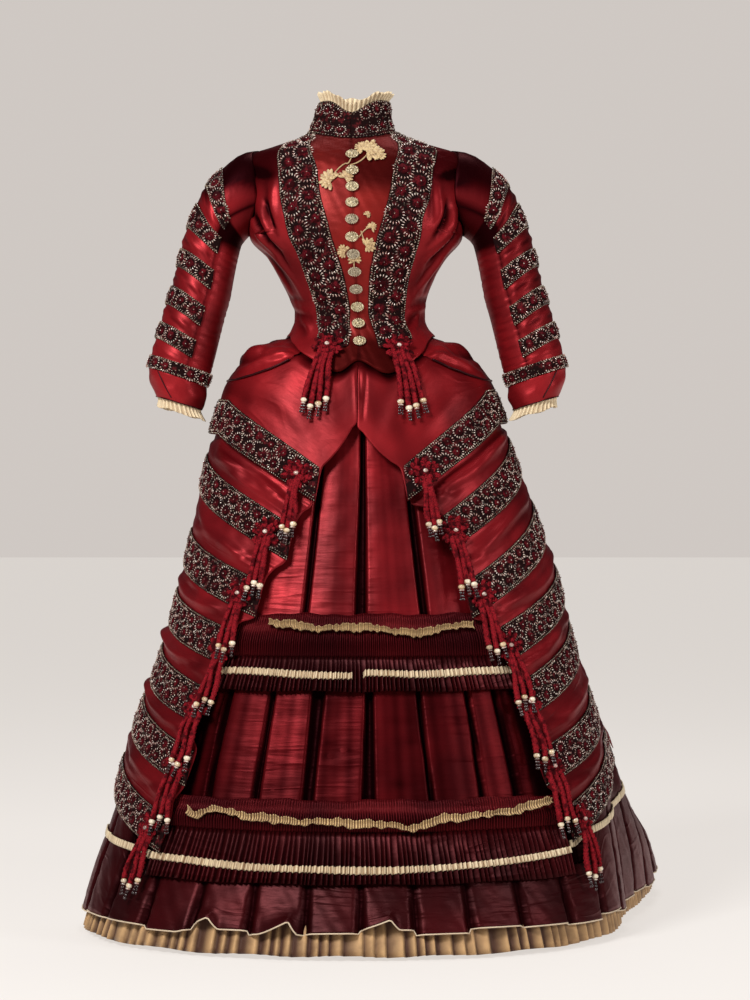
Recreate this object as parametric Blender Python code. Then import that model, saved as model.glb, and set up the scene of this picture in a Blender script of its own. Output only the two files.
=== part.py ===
"""Victorian dress: a worn, hollow costume of draped red satin with beaded bands, flounces and a short train.

Metres, +Z up. The front faces -Y, and +X is the wearer's left. Heights in the tables are measured up from the
floor under the hem; every piece hangs from one empty that puts the origin between the wearer's shoulders.
Angles go round the body in degrees: 0 is the centre front, 90 the wearer's left side, 180 the centre back.
Every piece of cloth is a wall between two grids of points, each worked out from an angle, a height and how
far it stands out from the dress's form.
"""

import math

import bpy
from mathutils import Vector

HOLD_HEIGHT = 1.28          # the wearer's shoulders, above the floor
SEAM = 0.0003               # gap between pieces at a seam
LAP = 0.0008                # gap where one layer lies on another with other fold lines
CLOTH = 0.0015              # plain wall
PLEATED = 0.0020            # wall of a pleated piece, measured straight out
TRIM = 0.0025               # beaded band
RUFFLE = 0.0013
HALF_SEAM_SHARE = 0.65      # a little over half, because the walls are chords of the form

SIDES = {"r": -1, "l": 1}
SIDE_SEAM = 106.0           # where the draped sides meet the bustle drape
UNDERSKIRT_SEAM = 75.0      # where the underskirt's front meets its back

FORM_COLUMNS = ("height", "centre", "right", "left", "front", "back", "sweep", "square")
FORM = (
    (1.372, -0.010, 0.056, 0.056, 0.049, 0.052, 0.0, 2.0),
    (1.312, -0.016, 0.070, 0.069, 0.056, 0.060, 0.0, 2.0),
    (1.300, -0.015, 0.082, 0.081, 0.064, 0.066, 0.0, 2.0),
    (1.290, -0.014, 0.107, 0.108, 0.072, 0.072, 0.0, 2.0),
    (1.280, -0.013, 0.138, 0.140, 0.080, 0.078, 0.0, 2.1),
    (1.268, -0.012, 0.172, 0.174, 0.089, 0.084, 0.0, 2.2),
    (1.250, -0.011, 0.178, 0.178, 0.100, 0.090, 0.0, 2.3),
    (1.200, -0.010, 0.176, 0.176, 0.118, 0.098, 0.0, 2.4),
    (1.150, -0.010, 0.178, 0.179, 0.128, 0.100, 0.0, 2.3),
    (1.130, -0.010, 0.174, 0.175, 0.129, 0.098, 0.0, 2.2),
    (1.097, -0.008, 0.146, 0.146, 0.122, 0.092, 0.0, 2.1),
    (1.064, -0.006, 0.129, 0.125, 0.108, 0.084, 0.0, 2.0),
    (1.031, -0.004, 0.115, 0.111, 0.092, 0.076, 0.0, 2.0),
    (1.010, -0.003, 0.108, 0.107, 0.084, 0.072, 0.0, 2.0),
    (0.998, -0.003, 0.108, 0.107, 0.083, 0.074, 0.0, 2.0),
    (0.982, -0.002, 0.114, 0.112, 0.087, 0.084, 0.0, 2.0),
    (0.970, 0.000, 0.124, 0.121, 0.092, 0.100, 0.0, 2.0),
    (0.957, 0.000, 0.143, 0.131, 0.098, 0.114, 0.0, 2.0),
    (0.932, 0.000, 0.185, 0.168, 0.110, 0.147, 0.0, 2.1),
    (0.899, 0.000, 0.209, 0.200, 0.124, 0.186, 0.0, 2.2),
    (0.866, 0.000, 0.226, 0.217, 0.134, 0.212, 0.0, 2.2),
    (0.800, 0.000, 0.247, 0.241, 0.152, 0.246, 0.0, 2.2),
    (0.734, 0.000, 0.263, 0.265, 0.172, 0.266, 0.010, 2.2),
    (0.635, 0.000, 0.283, 0.301, 0.202, 0.292, 0.022, 2.2),
    (0.569, 0.000, 0.299, 0.323, 0.221, 0.310, 0.034, 2.2),
    (0.503, 0.000, 0.315, 0.338, 0.240, 0.330, 0.046, 2.2),
    (0.437, 0.000, 0.335, 0.356, 0.259, 0.358, 0.062, 2.2),
    (0.371, 0.000, 0.360, 0.375, 0.279, 0.395, 0.084, 2.2),
    (0.305, 0.000, 0.383, 0.395, 0.299, 0.440, 0.112, 2.2),
    (0.239, 0.000, 0.401, 0.410, 0.319, 0.495, 0.150, 2.2),
    (0.170, 0.000, 0.417, 0.418, 0.341, 0.565, 0.200, 2.2),
    (0.100, 0.000, 0.438, 0.424, 0.362, 0.650, 0.260, 2.2),
    (0.000, 0.000, 0.462, 0.428, 0.390, 0.760, 0.300, 2.2),
)

# Beaded skirt bands: angle and height of the front end, rise in metres for each degree towards the side, and
# the angle of the rosette.
BAND_COLUMNS = ("r_angle", "r_height", "r_rise", "r_rosette", "l_angle", "l_height", "l_rise", "l_rosette")
BANDS = (
    (22.0, 0.722, 0.00213, 32.0, 22.0, 0.724, 0.00240, 31.5),
    (30.0, 0.630, 0.00213, 40.5, 36.0, 0.645, 0.00260, 39.5),
    (38.0, 0.541, 0.00180, 46.0, 39.0, 0.538, 0.00280, 44.5),
    (46.0, 0.466, 0.00160, 48.0, 47.0, 0.467, 0.00244, 49.5),
    (49.0, 0.373, 0.00180, 51.0, 49.0, 0.380, 0.00250, 51.0),
    (48.0, 0.277, 0.00220, 52.5, 50.0, 0.277, 0.00220, 53.5),
    (51.0, 0.174, 0.00240, 56.5, 55.0, 0.188, 0.00280, 59.5),
)
BAND_HALF = 0.028           # half a band's height where it lies
SLOPE_END = 84.0            # beyond this angle the bands flatten to this share of their rise
FLAT_SHARE = 0.3
FIRST_SLOPE_END = 74.0
FIRST_FLAT_SHARE = 0.1

# Lapel bands: angles of the outer and inner edges by height.
LAPEL_COLUMNS = ("height", "r_outer", "r_inner", "l_inner", "l_outer")
LAPELS = (
    (1.304, 68.0, 52.0, 52.0, 78.0),
    (1.270, 62.0, 40.0, 40.0, 66.0),
    (1.235, 56.4, 31.0, 31.0, 57.0),
    (1.190, 51.6, 25.5, 24.5, 51.0),
    (1.144, 46.7, 19.0, 18.0, 44.6),
    (1.104, 45.2, 15.2, 13.1, 44.7),
    (1.057, 47.0, 12.0, 9.6, 46.5),
    (1.010, 48.5, 11.0, 9.0, 50.0),
    (0.968, 43.0, 11.6, 14.0, 49.0),
    (0.930, 40.0, 14.0, 17.0, 45.0),
)
LAPEL_SEAM_SHARE = 0.4      # the vest ends this far across under the band

# The basque's lower edge and the hip drapes' lower edge: height by angle.
BASQUE = ((-180, 0.964), (-110, 0.970), (-80, 0.970), (-60, 0.955), (-47, 0.939), (-33, 0.922), (-18, 0.906),
          (-3, 0.925), (19, 0.904), (38, 0.924), (52, 0.943), (67, 0.962), (80, 0.970), (110, 0.970),
          (180, 0.964))
HIP_LINE = ((40, 0.942), (47, 0.935), (60, 0.914), (77, 0.900), (106, 0.898))

BODICE_HEIGHTS = (1.304, 1.290, 1.276, 1.262, 1.240, 1.215, 1.190, 1.162, 1.134, 1.100, 1.066, 1.034, 1.008,
                  0.988, 0.957, 0.930)
NECK_BLEND = 1.250          # above this the rows bend to the neck line
NECK_DIP = 0.016            # the neck line is this much lower at the centre front
BACK_CELLS = 12
FRONT_CELLS = 4
VEST_CELLS = 4
BASQUE_BLEND = 0.988        # below this they bend to the basque's edge
LAPEL_LAST_ROW = 14
ARMHOLE_HEIGHT = 1.197
ARMHOLE_HALF_HEIGHT = 0.063
ARMHOLE_HALF_ANGLE = 20.0
ARMHOLE_GAP_HEIGHT = 0.0018 # how far the sleeve's first ring keeps inside the armhole's edge
ARMHOLE_GAP_ANGLE = 0.65

COLLAR_OPENING = -2.5       # angle of the collar's opening
COLLAR_GAP_ANGLE = 0.2
COLLAR_HEIGHT = 1.356
COLLAR_DIP = 0.022          # the upper edge dips at the opening
COLLAR_DIP_ANGLE = 30.0
COLLAR_WAVES = 14
# The ruffle inside the collar's top: rise over the collar's edge, how far out, and half its wave.
COLLAR_RUFFLE = (
    (0.012, 0.0045, 0.0025),
    (0.003, -0.0023, 0.0),
    (-0.010, -0.0039, 0.0),
)

# Sleeve sections down the arm: outer and inner points from the front, the middle's y and half the depth.
# x is measured from SLEEVE_MIDDLE.
SLEEVE_MIDDLE = -0.0075
SLEEVE_COLUMNS = ("outer_x", "outer_z", "inner_x", "inner_z", "middle_y", "deep")
SLEEVES = (
    (0.2180, 1.251, 0.1840, 1.131, 0.000, 0.063),
    (0.2500, 1.216, 0.1870, 1.126, 0.000, 0.060),
    (0.2740, 1.165, 0.1910, 1.120, -0.002, 0.055),
    (0.2870, 1.125, 0.1965, 1.098, -0.004, 0.052),
    (0.2945, 1.093, 0.2030, 1.065, -0.007, 0.051),
    (0.3020, 1.060, 0.2090, 1.031, -0.010, 0.051),
    (0.3120, 1.028, 0.2180, 0.998, -0.014, 0.051),
    (0.3210, 0.996, 0.2260, 0.965, -0.018, 0.050),
    (0.3300, 0.966, 0.2330, 0.935, -0.023, 0.049),
    (0.3380, 0.936, 0.2410, 0.904, -0.028, 0.048),
    (0.3430, 0.918, 0.2470, 0.886, -0.031, 0.047),
)
CUFFS = (
    (0.3427, 0.9172, 0.2467, 0.8852, -0.0311, 0.047),
    (0.3390, 0.8930, 0.2475, 0.8660, -0.0340, 0.045),
    (0.3290, 0.8690, 0.2550, 0.8470, -0.0360, 0.039),
)
# Raised bands on the sleeve: which section the upper and lower edges cross, and the drop to the inside.
SLEEVE_BANDS = (
    (1.15, 2.00, 0.75),
    (2.75, 3.55, 0.75),
    (4.25, 5.05, 0.65),
    (5.85, 6.65, 0.55),
    (7.40, 8.10, 0.40),
)
LOW_BAND = (9.2, 10.0, 0.0)     # the band that goes all round, a piece of its own
SLEEVE_SIDES = 12
SLEEVE_BAND_TURN = 15.0         # the bands face this far towards the front
CUFF_RUFFLE_FALL = 0.016
CUFF_RUFFLE_SHIFT = 0.004       # it falls a little towards the body
CUFF_RUFFLE_WAVE = 0.006
CUFF_RUFFLE_START = 1.4     # the ruffle starts inside the cuff, between its second and third section
CUFF_RUFFLE_LEVEL = 0.1
SLEEVE_RELIEF = 0.0020
SLEEVE_PUFF = 0.0045

# How far each layer of the skirt stands out from the form, and how it is tucked under the one above.
EMERGING = 0.028            # a layer comes out from under an edge over this height
HIP_START = 50.0            # angle where the hip drape starts at the basque's corner
HIP_CELLS = 7
TUCK_OUT = -0.0040          # under the basque
SIDE_TUCK_OUT = -0.0080     # under the basque and the hip drape
SEAM_ANGLE = 0.1            # half the gap between panels that meet, as an angle
POLONAISE_OUT = 0.0062
POLONAISE_FOLD = 0.002
POLONAISE_FOLD_TURN = 1.7   # how fast the soft folds follow each other across the columns
POLONAISE_FOLD_SLANT = 5.0  # and down the rows
POLONAISE_COLUMNS = 10
POLONAISE_CROWDING = 1.1    # the columns lie a little closer together at the front
POLONAISE_MIDDLE = -2.8     # angle where the fronts meet
# Rows down a polonaise front: share of the way from the basque to the band (-1 tucked under, 2 the band's
# lower edge), and how far the front edge has opened.
POLONAISE_ROWS = ((-1.0, 0.0), (0.0, 0.0), (0.26, 0.0), (0.51, 0.0), (0.76, 0.5), (1.0, 0.93), (2.0, 1.0))
UNDER_POLONAISE = -0.0035    # the overskirt's top, under the polonaise
TUCK_HEIGHT = 0.005         # how far a drape's top reaches up under the basque
POLONAISE_TUCK = 0.012      # the polonaise reaches further up, and less so under the hip drape
HIP_TUCK = 0.008
HIP_EMERGING = 0.004
HIP_LAP = 0.008             # the hip drape's edge lies this far over its line
HIP_OUT = 0.009
# Rows down the hip drape: share of the way down (-1 tucked under), and the fold's height.
HIP_ROWS = ((-1.0, 0.0), (0.0, 0.0), (0.25, 0.0), (0.5, 0.003), (0.75, -0.001), (1.0, 0.001))
BUSTLE_COLUMNS = 14
BUSTLE_SHARES = (-1.0, 0.0, 0.03, 0.08, 0.16, 0.27, 0.38, 0.49, 0.60, 0.73, 0.86, 1.0)
BUSTLE_HEM = 0.300          # height of the drape's lower edge at its sides
BUSTLE_HEM_DIP = 0.050      # and how much lower it hangs in the middle
BUSTLE_HEM_POINT = 0.018
BUSTLE_SAG = 0.035
BUSTLE_OUT = 0.020
BUSTLE_SWAG = 0.014
BUSTLE_SWAG_TURN = 1.9      # how fast the swags follow each other down the rows
BUSTLE_FLUTE = 0.004
HIP_SHELF = 0.005           # the hip drape stands out further where it leaves the basque
OVERSKIRT_COLUMNS = 10
PUFF = 0.008
PUFF_LEAST = 0.30           # share of the puff left at the front edge
PUFF_REACH = 1.4            # it is back to this share again where the sine has run out
PUFF_UNEVEN = 0.45
PUFF_TURNS = (2.1, 1.9)     # how the folds follow each other across and down
TASSEL_OUT = 0.0100         # how far a cord's bead hangs in front of its band

# Rosettes and the tasselled cords that hang from them.
CORD_RADIUS = 0.0016
BEAD_RADIUS = 0.0034
TAIL_RADIUS = 0.0010
BEAD_LENGTH = 0.012
TAIL_LENGTH = 0.016
ROSETTE_HALF = (0.019, 0.018)
ROSETTE_HIGH = 0.006
ROSETTE_TAPER = 0.62
ROSETTE_SIDES = 7
ROSETTE_SINK = 0.7          # share of the band's thickness that the rosette's back is sunk into
ROSETTE_DROP = 0.005        # the rosette sits this far below the band's middle line
CORD_LENGTHS = ((0.092, 0.098, 0.088), (0.098, 0.090, 0.094))
CORD_GAP = 1.1              # degrees between the cords of a band's rosette
CORD_ROOT = 0.006           # the cords start this far below the rosette's middle
CORD_ROOT_SHARE = 0.8       # they start closer together than they hang
CORD_END_SHARE = 1.6
WAIST_ROSETTE_HALF = (0.016, 0.015)
WAIST_ROSETTE_HIGH = 0.009
WAIST_SEAT = 0.0017         # the waist rosettes bridge the hollow of the waist
WAIST_CORD_LENGTHS = (0.100, 0.112, 0.106, 0.098)
WAIST_CORD_GAP = 2.6
WAIST_TASSELS = {"r": (-28.7, 0.946), "l": (30.7, 0.943)}

PLEAT_ANGLES = (-38.0, -19.0, 2.5, 22.0, 41.0)
BACK_SKIRT_CELLS = 14
PLEAT_HALF = 1.7
PLEAT_DEPTH = 0.007
UNDERSKIRT_HEIGHTS = (0.990, 0.978, 0.966, 0.945, 0.905, 0.840, 0.740, 0.620, 0.490, 0.365, 0.270, 0.195,
                      0.125, 0.055)
UNDERSKIRT_TUCK = ((0.840, -0.0145), (0.905, -0.0135), (0.945, -0.0110), (0.966, -0.0088), (0.978, -0.0072),
                   (0.990, -0.0029))

# Flounces on the front: half the angle they cover, the number of pleats, then the rows of the heading and of
# the fall as (height, low out, high out).
FLOUNCES = {
    "flounce_upper": (
        55.0, 18,
        ((0.517, -0.0110, -0.0110), (0.484, -0.0076, -0.0044), (0.4573, -0.0108, -0.0108)),
        ((0.457, -0.0108, -0.0104), (0.432, -0.0100, -0.0065), (0.403, -0.0090, -0.0028)),
    ),
    "flounce_lower": (
        56.0, 20,
        ((0.236, -0.0110, -0.0110), (0.209, -0.0076, -0.0044), (0.1923, -0.0108, -0.0108)),
        ((0.192, -0.0108, -0.0100), (0.155, -0.0066, -0.0030), (0.118, -0.0036, 0.0020)),
    ),
}

# The hem: box pleats all round, each with its flat part between two shares of its width, and the dust ruffle.
HEM_PLEATS = 28
HEM_PROFILE = ((0.0, 0.0), (0.16, 1.0), (0.84, 1.0))
HEM_ROWS = ((0.0, -0.0122, -0.0110), (0.5, -0.0080, -0.0030), (1.0, -0.0048, 0.0030))
HEM_BOTTOM = 0.040
HEM_FLIP = 0.004            # some pleats hang a little lower than others
HEM_FRONT_TOP = 0.128
HEM_SIDE_TOP = 0.255
DUST_FOLDS = 38
DUST_ROWS = ((0.085, -0.0110, -0.0106), (0.009, -0.0100, -0.0055))

# Buttons down the vest as (height, seat): the seat is how far the back stands out, more where the waist is
# hollow.
BUTTONS = (
    (1.258, 0.0005), (1.231, 0.0005), (1.204, 0.0005), (1.178, 0.0005), (1.151, 0.0005), (1.123, -0.0006),
    (1.096, 0.0005), (1.069, 0.0005), (1.042, 0.0009), (1.014, 0.0023), (0.985, 0.0023), (0.956, 0.0005),
)
BUTTON_TURN = 1.008         # above this height the buttons lie at the first angle, below it at the second
BUTTON_ANGLE = -2.6
LOW_BUTTON_ANGLE = -2.0
BACK_HEM_OUT = 0.0058       # the hem flounce stands out further where the train flares
BUTTON_HALF = (0.0110, 0.0085)
BUTTON_HIGH = 0.006
BUTTON_TAPER = 0.6

FINISHES = {
    "satin_red": ((0.33, 0.022, 0.030), 0.34, 0.0),
    "vest_satin": ((0.42, 0.050, 0.025), 0.38, 0.0),
    "trim_band": ((0.13, 0.035, 0.032), 0.55, 0.0),
    "chenille_red": ((0.20, 0.008, 0.014), 0.75, 0.0),
    "cream_silk": ((0.72, 0.58, 0.38), 0.55, 0.0),
    "gold_silk": ((0.55, 0.34, 0.14), 0.50, 0.0),
    "tan_cotton": ((0.60, 0.42, 0.24), 0.70, 0.0),
    "button_metal": ((0.62, 0.50, 0.28), 0.40, 0.6),
}


def smooth_value(pairs, x):
    """Read a table of (x, value) pairs sorted by x, with a curve that never swings past its neighbours."""
    if x <= pairs[0][0]:
        return pairs[0][1]
    if x >= pairs[-1][0]:
        return pairs[-1][1]
    i = 0
    while x > pairs[i + 1][0]:
        i += 1

    def slope(k):
        if k == 0 or k == len(pairs) - 1:
            k = max(k, 1)
            return (pairs[k][1] - pairs[k - 1][1]) / (pairs[k][0] - pairs[k - 1][0])
        before = (pairs[k][1] - pairs[k - 1][1]) / (pairs[k][0] - pairs[k - 1][0])
        after = (pairs[k + 1][1] - pairs[k][1]) / (pairs[k + 1][0] - pairs[k][0])
        return 0.0 if before * after <= 0 else 2 * before * after / (before + after)

    span = pairs[i + 1][0] - pairs[i][0]
    t = (x - pairs[i][0]) / span
    return ((2 * t**3 - 3 * t**2 + 1) * pairs[i][1] + (t**3 - 2 * t**2 + t) * span * slope(i)
            + (3 * t**2 - 2 * t**3) * pairs[i + 1][1] + (t**3 - t**2) * span * slope(i + 1))


def curves_of(table, columns):
    """Turn a table whose first column is the key into one sorted list of pairs for each other column."""
    rows = sorted(table)
    return {name: [(row[0], row[k]) for row in rows] for k, name in enumerate(columns) if k}


FORM_CURVES = curves_of(FORM, FORM_COLUMNS)
LAPEL_CURVES = curves_of(LAPELS, LAPEL_COLUMNS)


def form_point(angle, height):
    """A point on the form: a rounded section at each height, with the back swept towards the train."""
    value = {name: smooth_value(pairs, height) for name, pairs in FORM_CURVES.items()}
    sine = math.sin(math.radians(angle))
    cosine = math.cos(math.radians(angle))
    wide = value["left"] if sine >= 0 else value["right"]
    deep = value["front"] if cosine >= 0 else value["back"]
    power = value["square"]
    reach = ((abs(sine) / wide) ** power + (abs(cosine) / deep) ** power) ** (-1 / power)
    x = reach * sine + value["centre"]
    y = -reach * cosine
    if y > 0:
        x += value["sweep"] * (y / deep) ** 1.15
    return Vector((x, y, height))


def form_normal(angle, height):
    """The outward direction of the form there."""
    round_step = form_point(angle + 0.4, height) - form_point(angle - 0.4, height)
    down_step = form_point(angle, height - 0.002) - form_point(angle, height + 0.002)
    return down_step.cross(round_step).normalized()


def on_form(angle, height, out):
    """A point that stands out from the form."""
    return form_point(angle, height) + form_normal(angle, height) * out


def ramp(x, start, end):
    """0 before start, 1 after end, smooth between."""
    t = min(max((x - start) / (end - start), 0.0), 1.0)
    return t * t * (3 - 2 * t)


def mix(a, b, t):
    return a + (b - a) * t


def half_seam(height):
    """Half a seam's gap as an angle."""
    return math.degrees(HALF_SEAM_SHARE * SEAM / smooth_value(FORM_CURVES["right"], height))


def material(name):
    """The named finish as a Principled material, made once."""
    found = bpy.data.materials.get(name)
    if found:
        return found
    color, roughness, metallic = FINISHES[name]
    made = bpy.data.materials.new(name)
    made.use_nodes = True
    shader = made.node_tree.nodes["Principled BSDF"]
    shader.inputs["Base Color"].default_value = (*color, 1.0)
    shader.inputs["Roughness"].default_value = roughness
    shader.inputs["Metallic"].default_value = metallic
    made.diffuse_color = (*color, 1.0)
    return made


def add_object(name, points, faces, finish, holder):
    """Make a mesh object that hangs from the holder."""
    mesh = bpy.data.meshes.new(name)
    mesh.from_pydata([tuple(p) for p in points], [], faces)
    mesh.materials.append(material(finish))
    mesh.shade_smooth()
    mesh.set_sharp_from_angle(angle=math.radians(50))
    made = bpy.data.objects.new(name, mesh)
    bpy.context.scene.collection.objects.link(made)
    made.parent = holder
    return made


def wall(name, outer, inner, finish, holder, closed=False):
    """A wall of cloth between two grids of points, rows from top to bottom and columns by rising angle.

    Both faces are split along the same diagonals, so that the wall keeps its thickness where it twists.
    """
    rows = len(outer)
    columns = len(outer[0])
    points = [p for row in outer for p in row] + [p for row in inner for p in row]
    last = columns if closed else columns - 1

    def at(r, c, inside=0):
        return inside * rows * columns + r * columns + c % columns

    faces = []
    for r in range(rows - 1):
        for c in range(last):
            faces.append((at(r, c), at(r + 1, c), at(r + 1, c + 1)))
            faces.append((at(r, c), at(r + 1, c + 1), at(r, c + 1)))
            faces.append((at(r, c, 1), at(r + 1, c + 1, 1), at(r + 1, c, 1)))
            faces.append((at(r, c, 1), at(r, c + 1, 1), at(r + 1, c + 1, 1)))
    for c in range(last):
        bottom = rows - 1
        faces.append((at(0, c), at(0, c + 1), at(0, c + 1, 1), at(0, c, 1)))
        faces.append((at(bottom, c + 1), at(bottom, c), at(bottom, c, 1), at(bottom, c + 1, 1)))
    if not closed:
        end = columns - 1
        for r in range(rows - 1):
            faces.append((at(r + 1, 0), at(r, 0), at(r, 0, 1), at(r + 1, 0, 1)))
            faces.append((at(r, end), at(r + 1, end), at(r + 1, end, 1), at(r, end, 1)))
    return add_object(name, points, faces, finish, holder)


def form_wall(name, cells, thickness, finish, holder, closed=False):
    """A wall whose grid is given as (angle, height, out), thickened straight in towards the form."""
    if cells[0][0][0] > cells[0][-1][0]:
        cells = [row[::-1] for row in cells]
    outer = [[on_form(angle, height, out) for angle, height, out in row] for row in cells]
    inner = [[on_form(angle, height, out - thickness) for angle, height, out in row] for row in cells]
    return wall(name, outer, inner, finish, holder, closed)


def spread(start, end, cells):
    """Evenly spaced values from start to end."""
    return [mix(start, end, k / cells) for k in range(cells + 1)]


def neck_line(angle):
    """Height of the neck's edge: lower at the centre front."""
    dip = max(math.cos(math.radians(angle)), 0.0) ** 2
    return BODICE_HEIGHTS[0] - NECK_DIP * dip


def basque_line(angle):
    wrapped = (angle + 180) % 360 - 180
    return smooth_value(BASQUE, wrapped)


def bodice_height(row, angle):
    """Height of a bodice row at an angle: level in the middle, bent to the neck and to the basque's edge."""
    height = BODICE_HEIGHTS[row]
    if height > NECK_BLEND:
        share = (height - NECK_BLEND) / (BODICE_HEIGHTS[0] - NECK_BLEND)
        return mix(NECK_BLEND, neck_line(angle), share)
    if height < BASQUE_BLEND:
        share = (BASQUE_BLEND - height) / (BASQUE_BLEND - BODICE_HEIGHTS[-1])
        return mix(BASQUE_BLEND, basque_line(angle), share)
    return height


def armhole_angle(height):
    """How far the armhole's edge lies from the side seam at a height."""
    part = (height - ARMHOLE_HEIGHT) / ARMHOLE_HALF_HEIGHT
    return ARMHOLE_HALF_ANGLE * math.sqrt(max(1 - part * part, 0.0))


def lapel_angle(side, edge, height):
    """Signed angle of a lapel band's inner edge, outer edge or the seam under it."""
    inner = smooth_value(LAPEL_CURVES[side + "_inner"], height)
    outer = smooth_value(LAPEL_CURVES[side + "_outer"], height)
    share = {"inner": 0.0, "seam": LAPEL_SEAM_SHARE, "outer": 1.0}[edge]
    return SIDES[side] * mix(inner, outer, share)


def back_angles(level):
    """Columns of the bodice's back, from the left side seam or armhole round to the right one."""
    start = 90 + armhole_angle(level) + half_seam(level)
    return spread(start, 360 - start, BACK_CELLS)


def front_angles(side, level):
    """Columns of a bodice front, from the seam under the lapel to the side seam or armhole."""
    sign = SIDES[side]
    seam = lapel_angle(side, "seam", level) + sign * half_seam(level)
    end = sign * (90 - armhole_angle(level) - half_seam(level))
    return [seam] + spread(lapel_angle(side, "outer", level), end, FRONT_CELLS)


def vest_angles(level):
    """Columns of the vest, from the right seam to the left one."""
    right = [lapel_angle("r", "seam", level) + half_seam(level), lapel_angle("r", "inner", level)]
    left = [lapel_angle("l", "inner", level), lapel_angle("l", "seam", level) - half_seam(level)]
    return right + spread(right[1], left[0], VEST_CELLS)[1:-1] + left


def build_bodice(holder):
    """Back, two fronts, the vest between them and the lapel bands over the seams."""
    levels = list(enumerate(BODICE_HEIGHTS))
    back = [[(a, bodice_height(row, a), 0.0) for a in back_angles(level)] for row, level in levels]
    form_wall("bodice_back", back, CLOTH, "satin_red", holder)
    for side in SIDES:
        front = []
        for row, level in levels:
            front.append([(a, bodice_height(row, a), 0.0) for a in front_angles(side, level)])
        form_wall("bodice_front_" + side, front, CLOTH, "satin_red", holder)
        lapel = []
        for row, level in levels[:LAPEL_LAST_ROW + 1]:
            across = [lapel_angle(side, edge, level) for edge in ("inner", "seam", "outer")]
            lapel.append([(a, bodice_height(row, a), SEAM + TRIM) for a in across])
        form_wall("lapel_band_" + side, lapel, TRIM, "trim_band", holder)
    vest = [[(a, bodice_height(row, a), 0.0) for a in vest_angles(level)] for row, level in levels]
    form_wall("vest_front", vest, CLOTH, "vest_satin", holder)


def collar_top(angle):
    """Height of the collar's upper edge: a dip at the centre front, a little lower behind."""
    away = (angle - COLLAR_OPENING + 180) % 360 - 180
    return COLLAR_HEIGHT - COLLAR_DIP * math.exp(-((away / COLLAR_DIP_ANGLE) ** 2))


def neck_columns():
    """Angles of all the bodice's columns at the neck, once each, from 0 to 360."""
    level = BODICE_HEIGHTS[0]
    angles = vest_angles(level) + back_angles(level) + front_angles("l", level) + front_angles("r", level)
    columns = []
    for angle in sorted(a % 360 for a in angles):
        if not columns or angle - columns[-1] > 1.0:
            columns.append(angle)
    return columns


def build_collar(holder):
    """The standing collar on the bodice's own neck edge, open at the front, and the ruffle inside its top."""
    columns = neck_columns()
    around = [columns[-1] - 360] + columns + [columns[0] + 360]
    neck = [(a, neck_line(a)) for a in around]
    opening = 360 + COLLAR_OPENING
    angles = [COLLAR_OPENING + COLLAR_GAP_ANGLE]
    angles += [a for a in columns if a < opening - 1]
    angles.append(opening - COLLAR_GAP_ANGLE)
    cells = []
    for share in (1.0, 0.5, 0.0):
        row = []
        for angle in angles:
            turned = angle % 360
            k = max(j for j in range(len(neck) - 1) if neck[j][0] <= turned)
            along = (turned - neck[k][0]) / (neck[k + 1][0] - neck[k][0])
            base = mix(neck[k][1], neck[k + 1][1], along) + LAP
            row.append((angle, mix(base, collar_top(angle), share), 0.0))
        cells.append(row)
    form_wall("collar", cells, CLOTH, "trim_band", holder)
    cells = []
    for rise, out, wave in COLLAR_RUFFLE:
        row = []
        for k in range(2 * COLLAR_WAVES):
            angle = 180 * k / COLLAR_WAVES
            row.append((angle, collar_top(angle) + rise, out + (wave if k % 2 else -wave)))
        cells.append(row)
    form_wall("collar_ruffle", cells, RUFFLE, "cream_silk", holder, closed=True)


def ring_point(section, sign, turn, out):
    """A point round a sleeve section; turn 0 is the front and 90 the wearer's left."""
    at = dict(zip(SLEEVE_COLUMNS, section))
    middle = Vector((SLEEVE_MIDDLE + sign * (at["outer_x"] + at["inner_x"]) / 2, at["middle_y"],
                     (at["outer_z"] + at["inner_z"]) / 2))
    across = Vector((sign * (at["outer_x"] - at["inner_x"]) / 2, 0.0, (at["outer_z"] - at["inner_z"]) / 2))
    width = across.length
    across = across.normalized() * (width + out)
    outward = sign * math.sin(math.radians(turn))
    forward = math.cos(math.radians(turn))
    return middle + across * outward + Vector((0.0, -(at["deep"] + out) * forward, 0.0))


def section_at(sections, place):
    """A sleeve section between two rows of the table."""
    place = min(max(place, 0.0), len(sections) - 1.0)
    k = min(int(place), len(sections) - 2)
    return [mix(a, b, place - k) for a, b in zip(sections[k], sections[k + 1])]


def armhole_point(sign, turn, out):
    """A point of the sleeve's first ring, on the armhole's edge."""
    lift = sign * math.sin(math.radians(turn))
    height = ARMHOLE_HEIGHT + (ARMHOLE_HALF_HEIGHT - ARMHOLE_GAP_HEIGHT) * lift
    forward = math.cos(math.radians(turn))
    angle = sign * (90 - (ARMHOLE_HALF_ANGLE - ARMHOLE_GAP_ANGLE) * forward)
    return on_form(angle, height, out)


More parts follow.
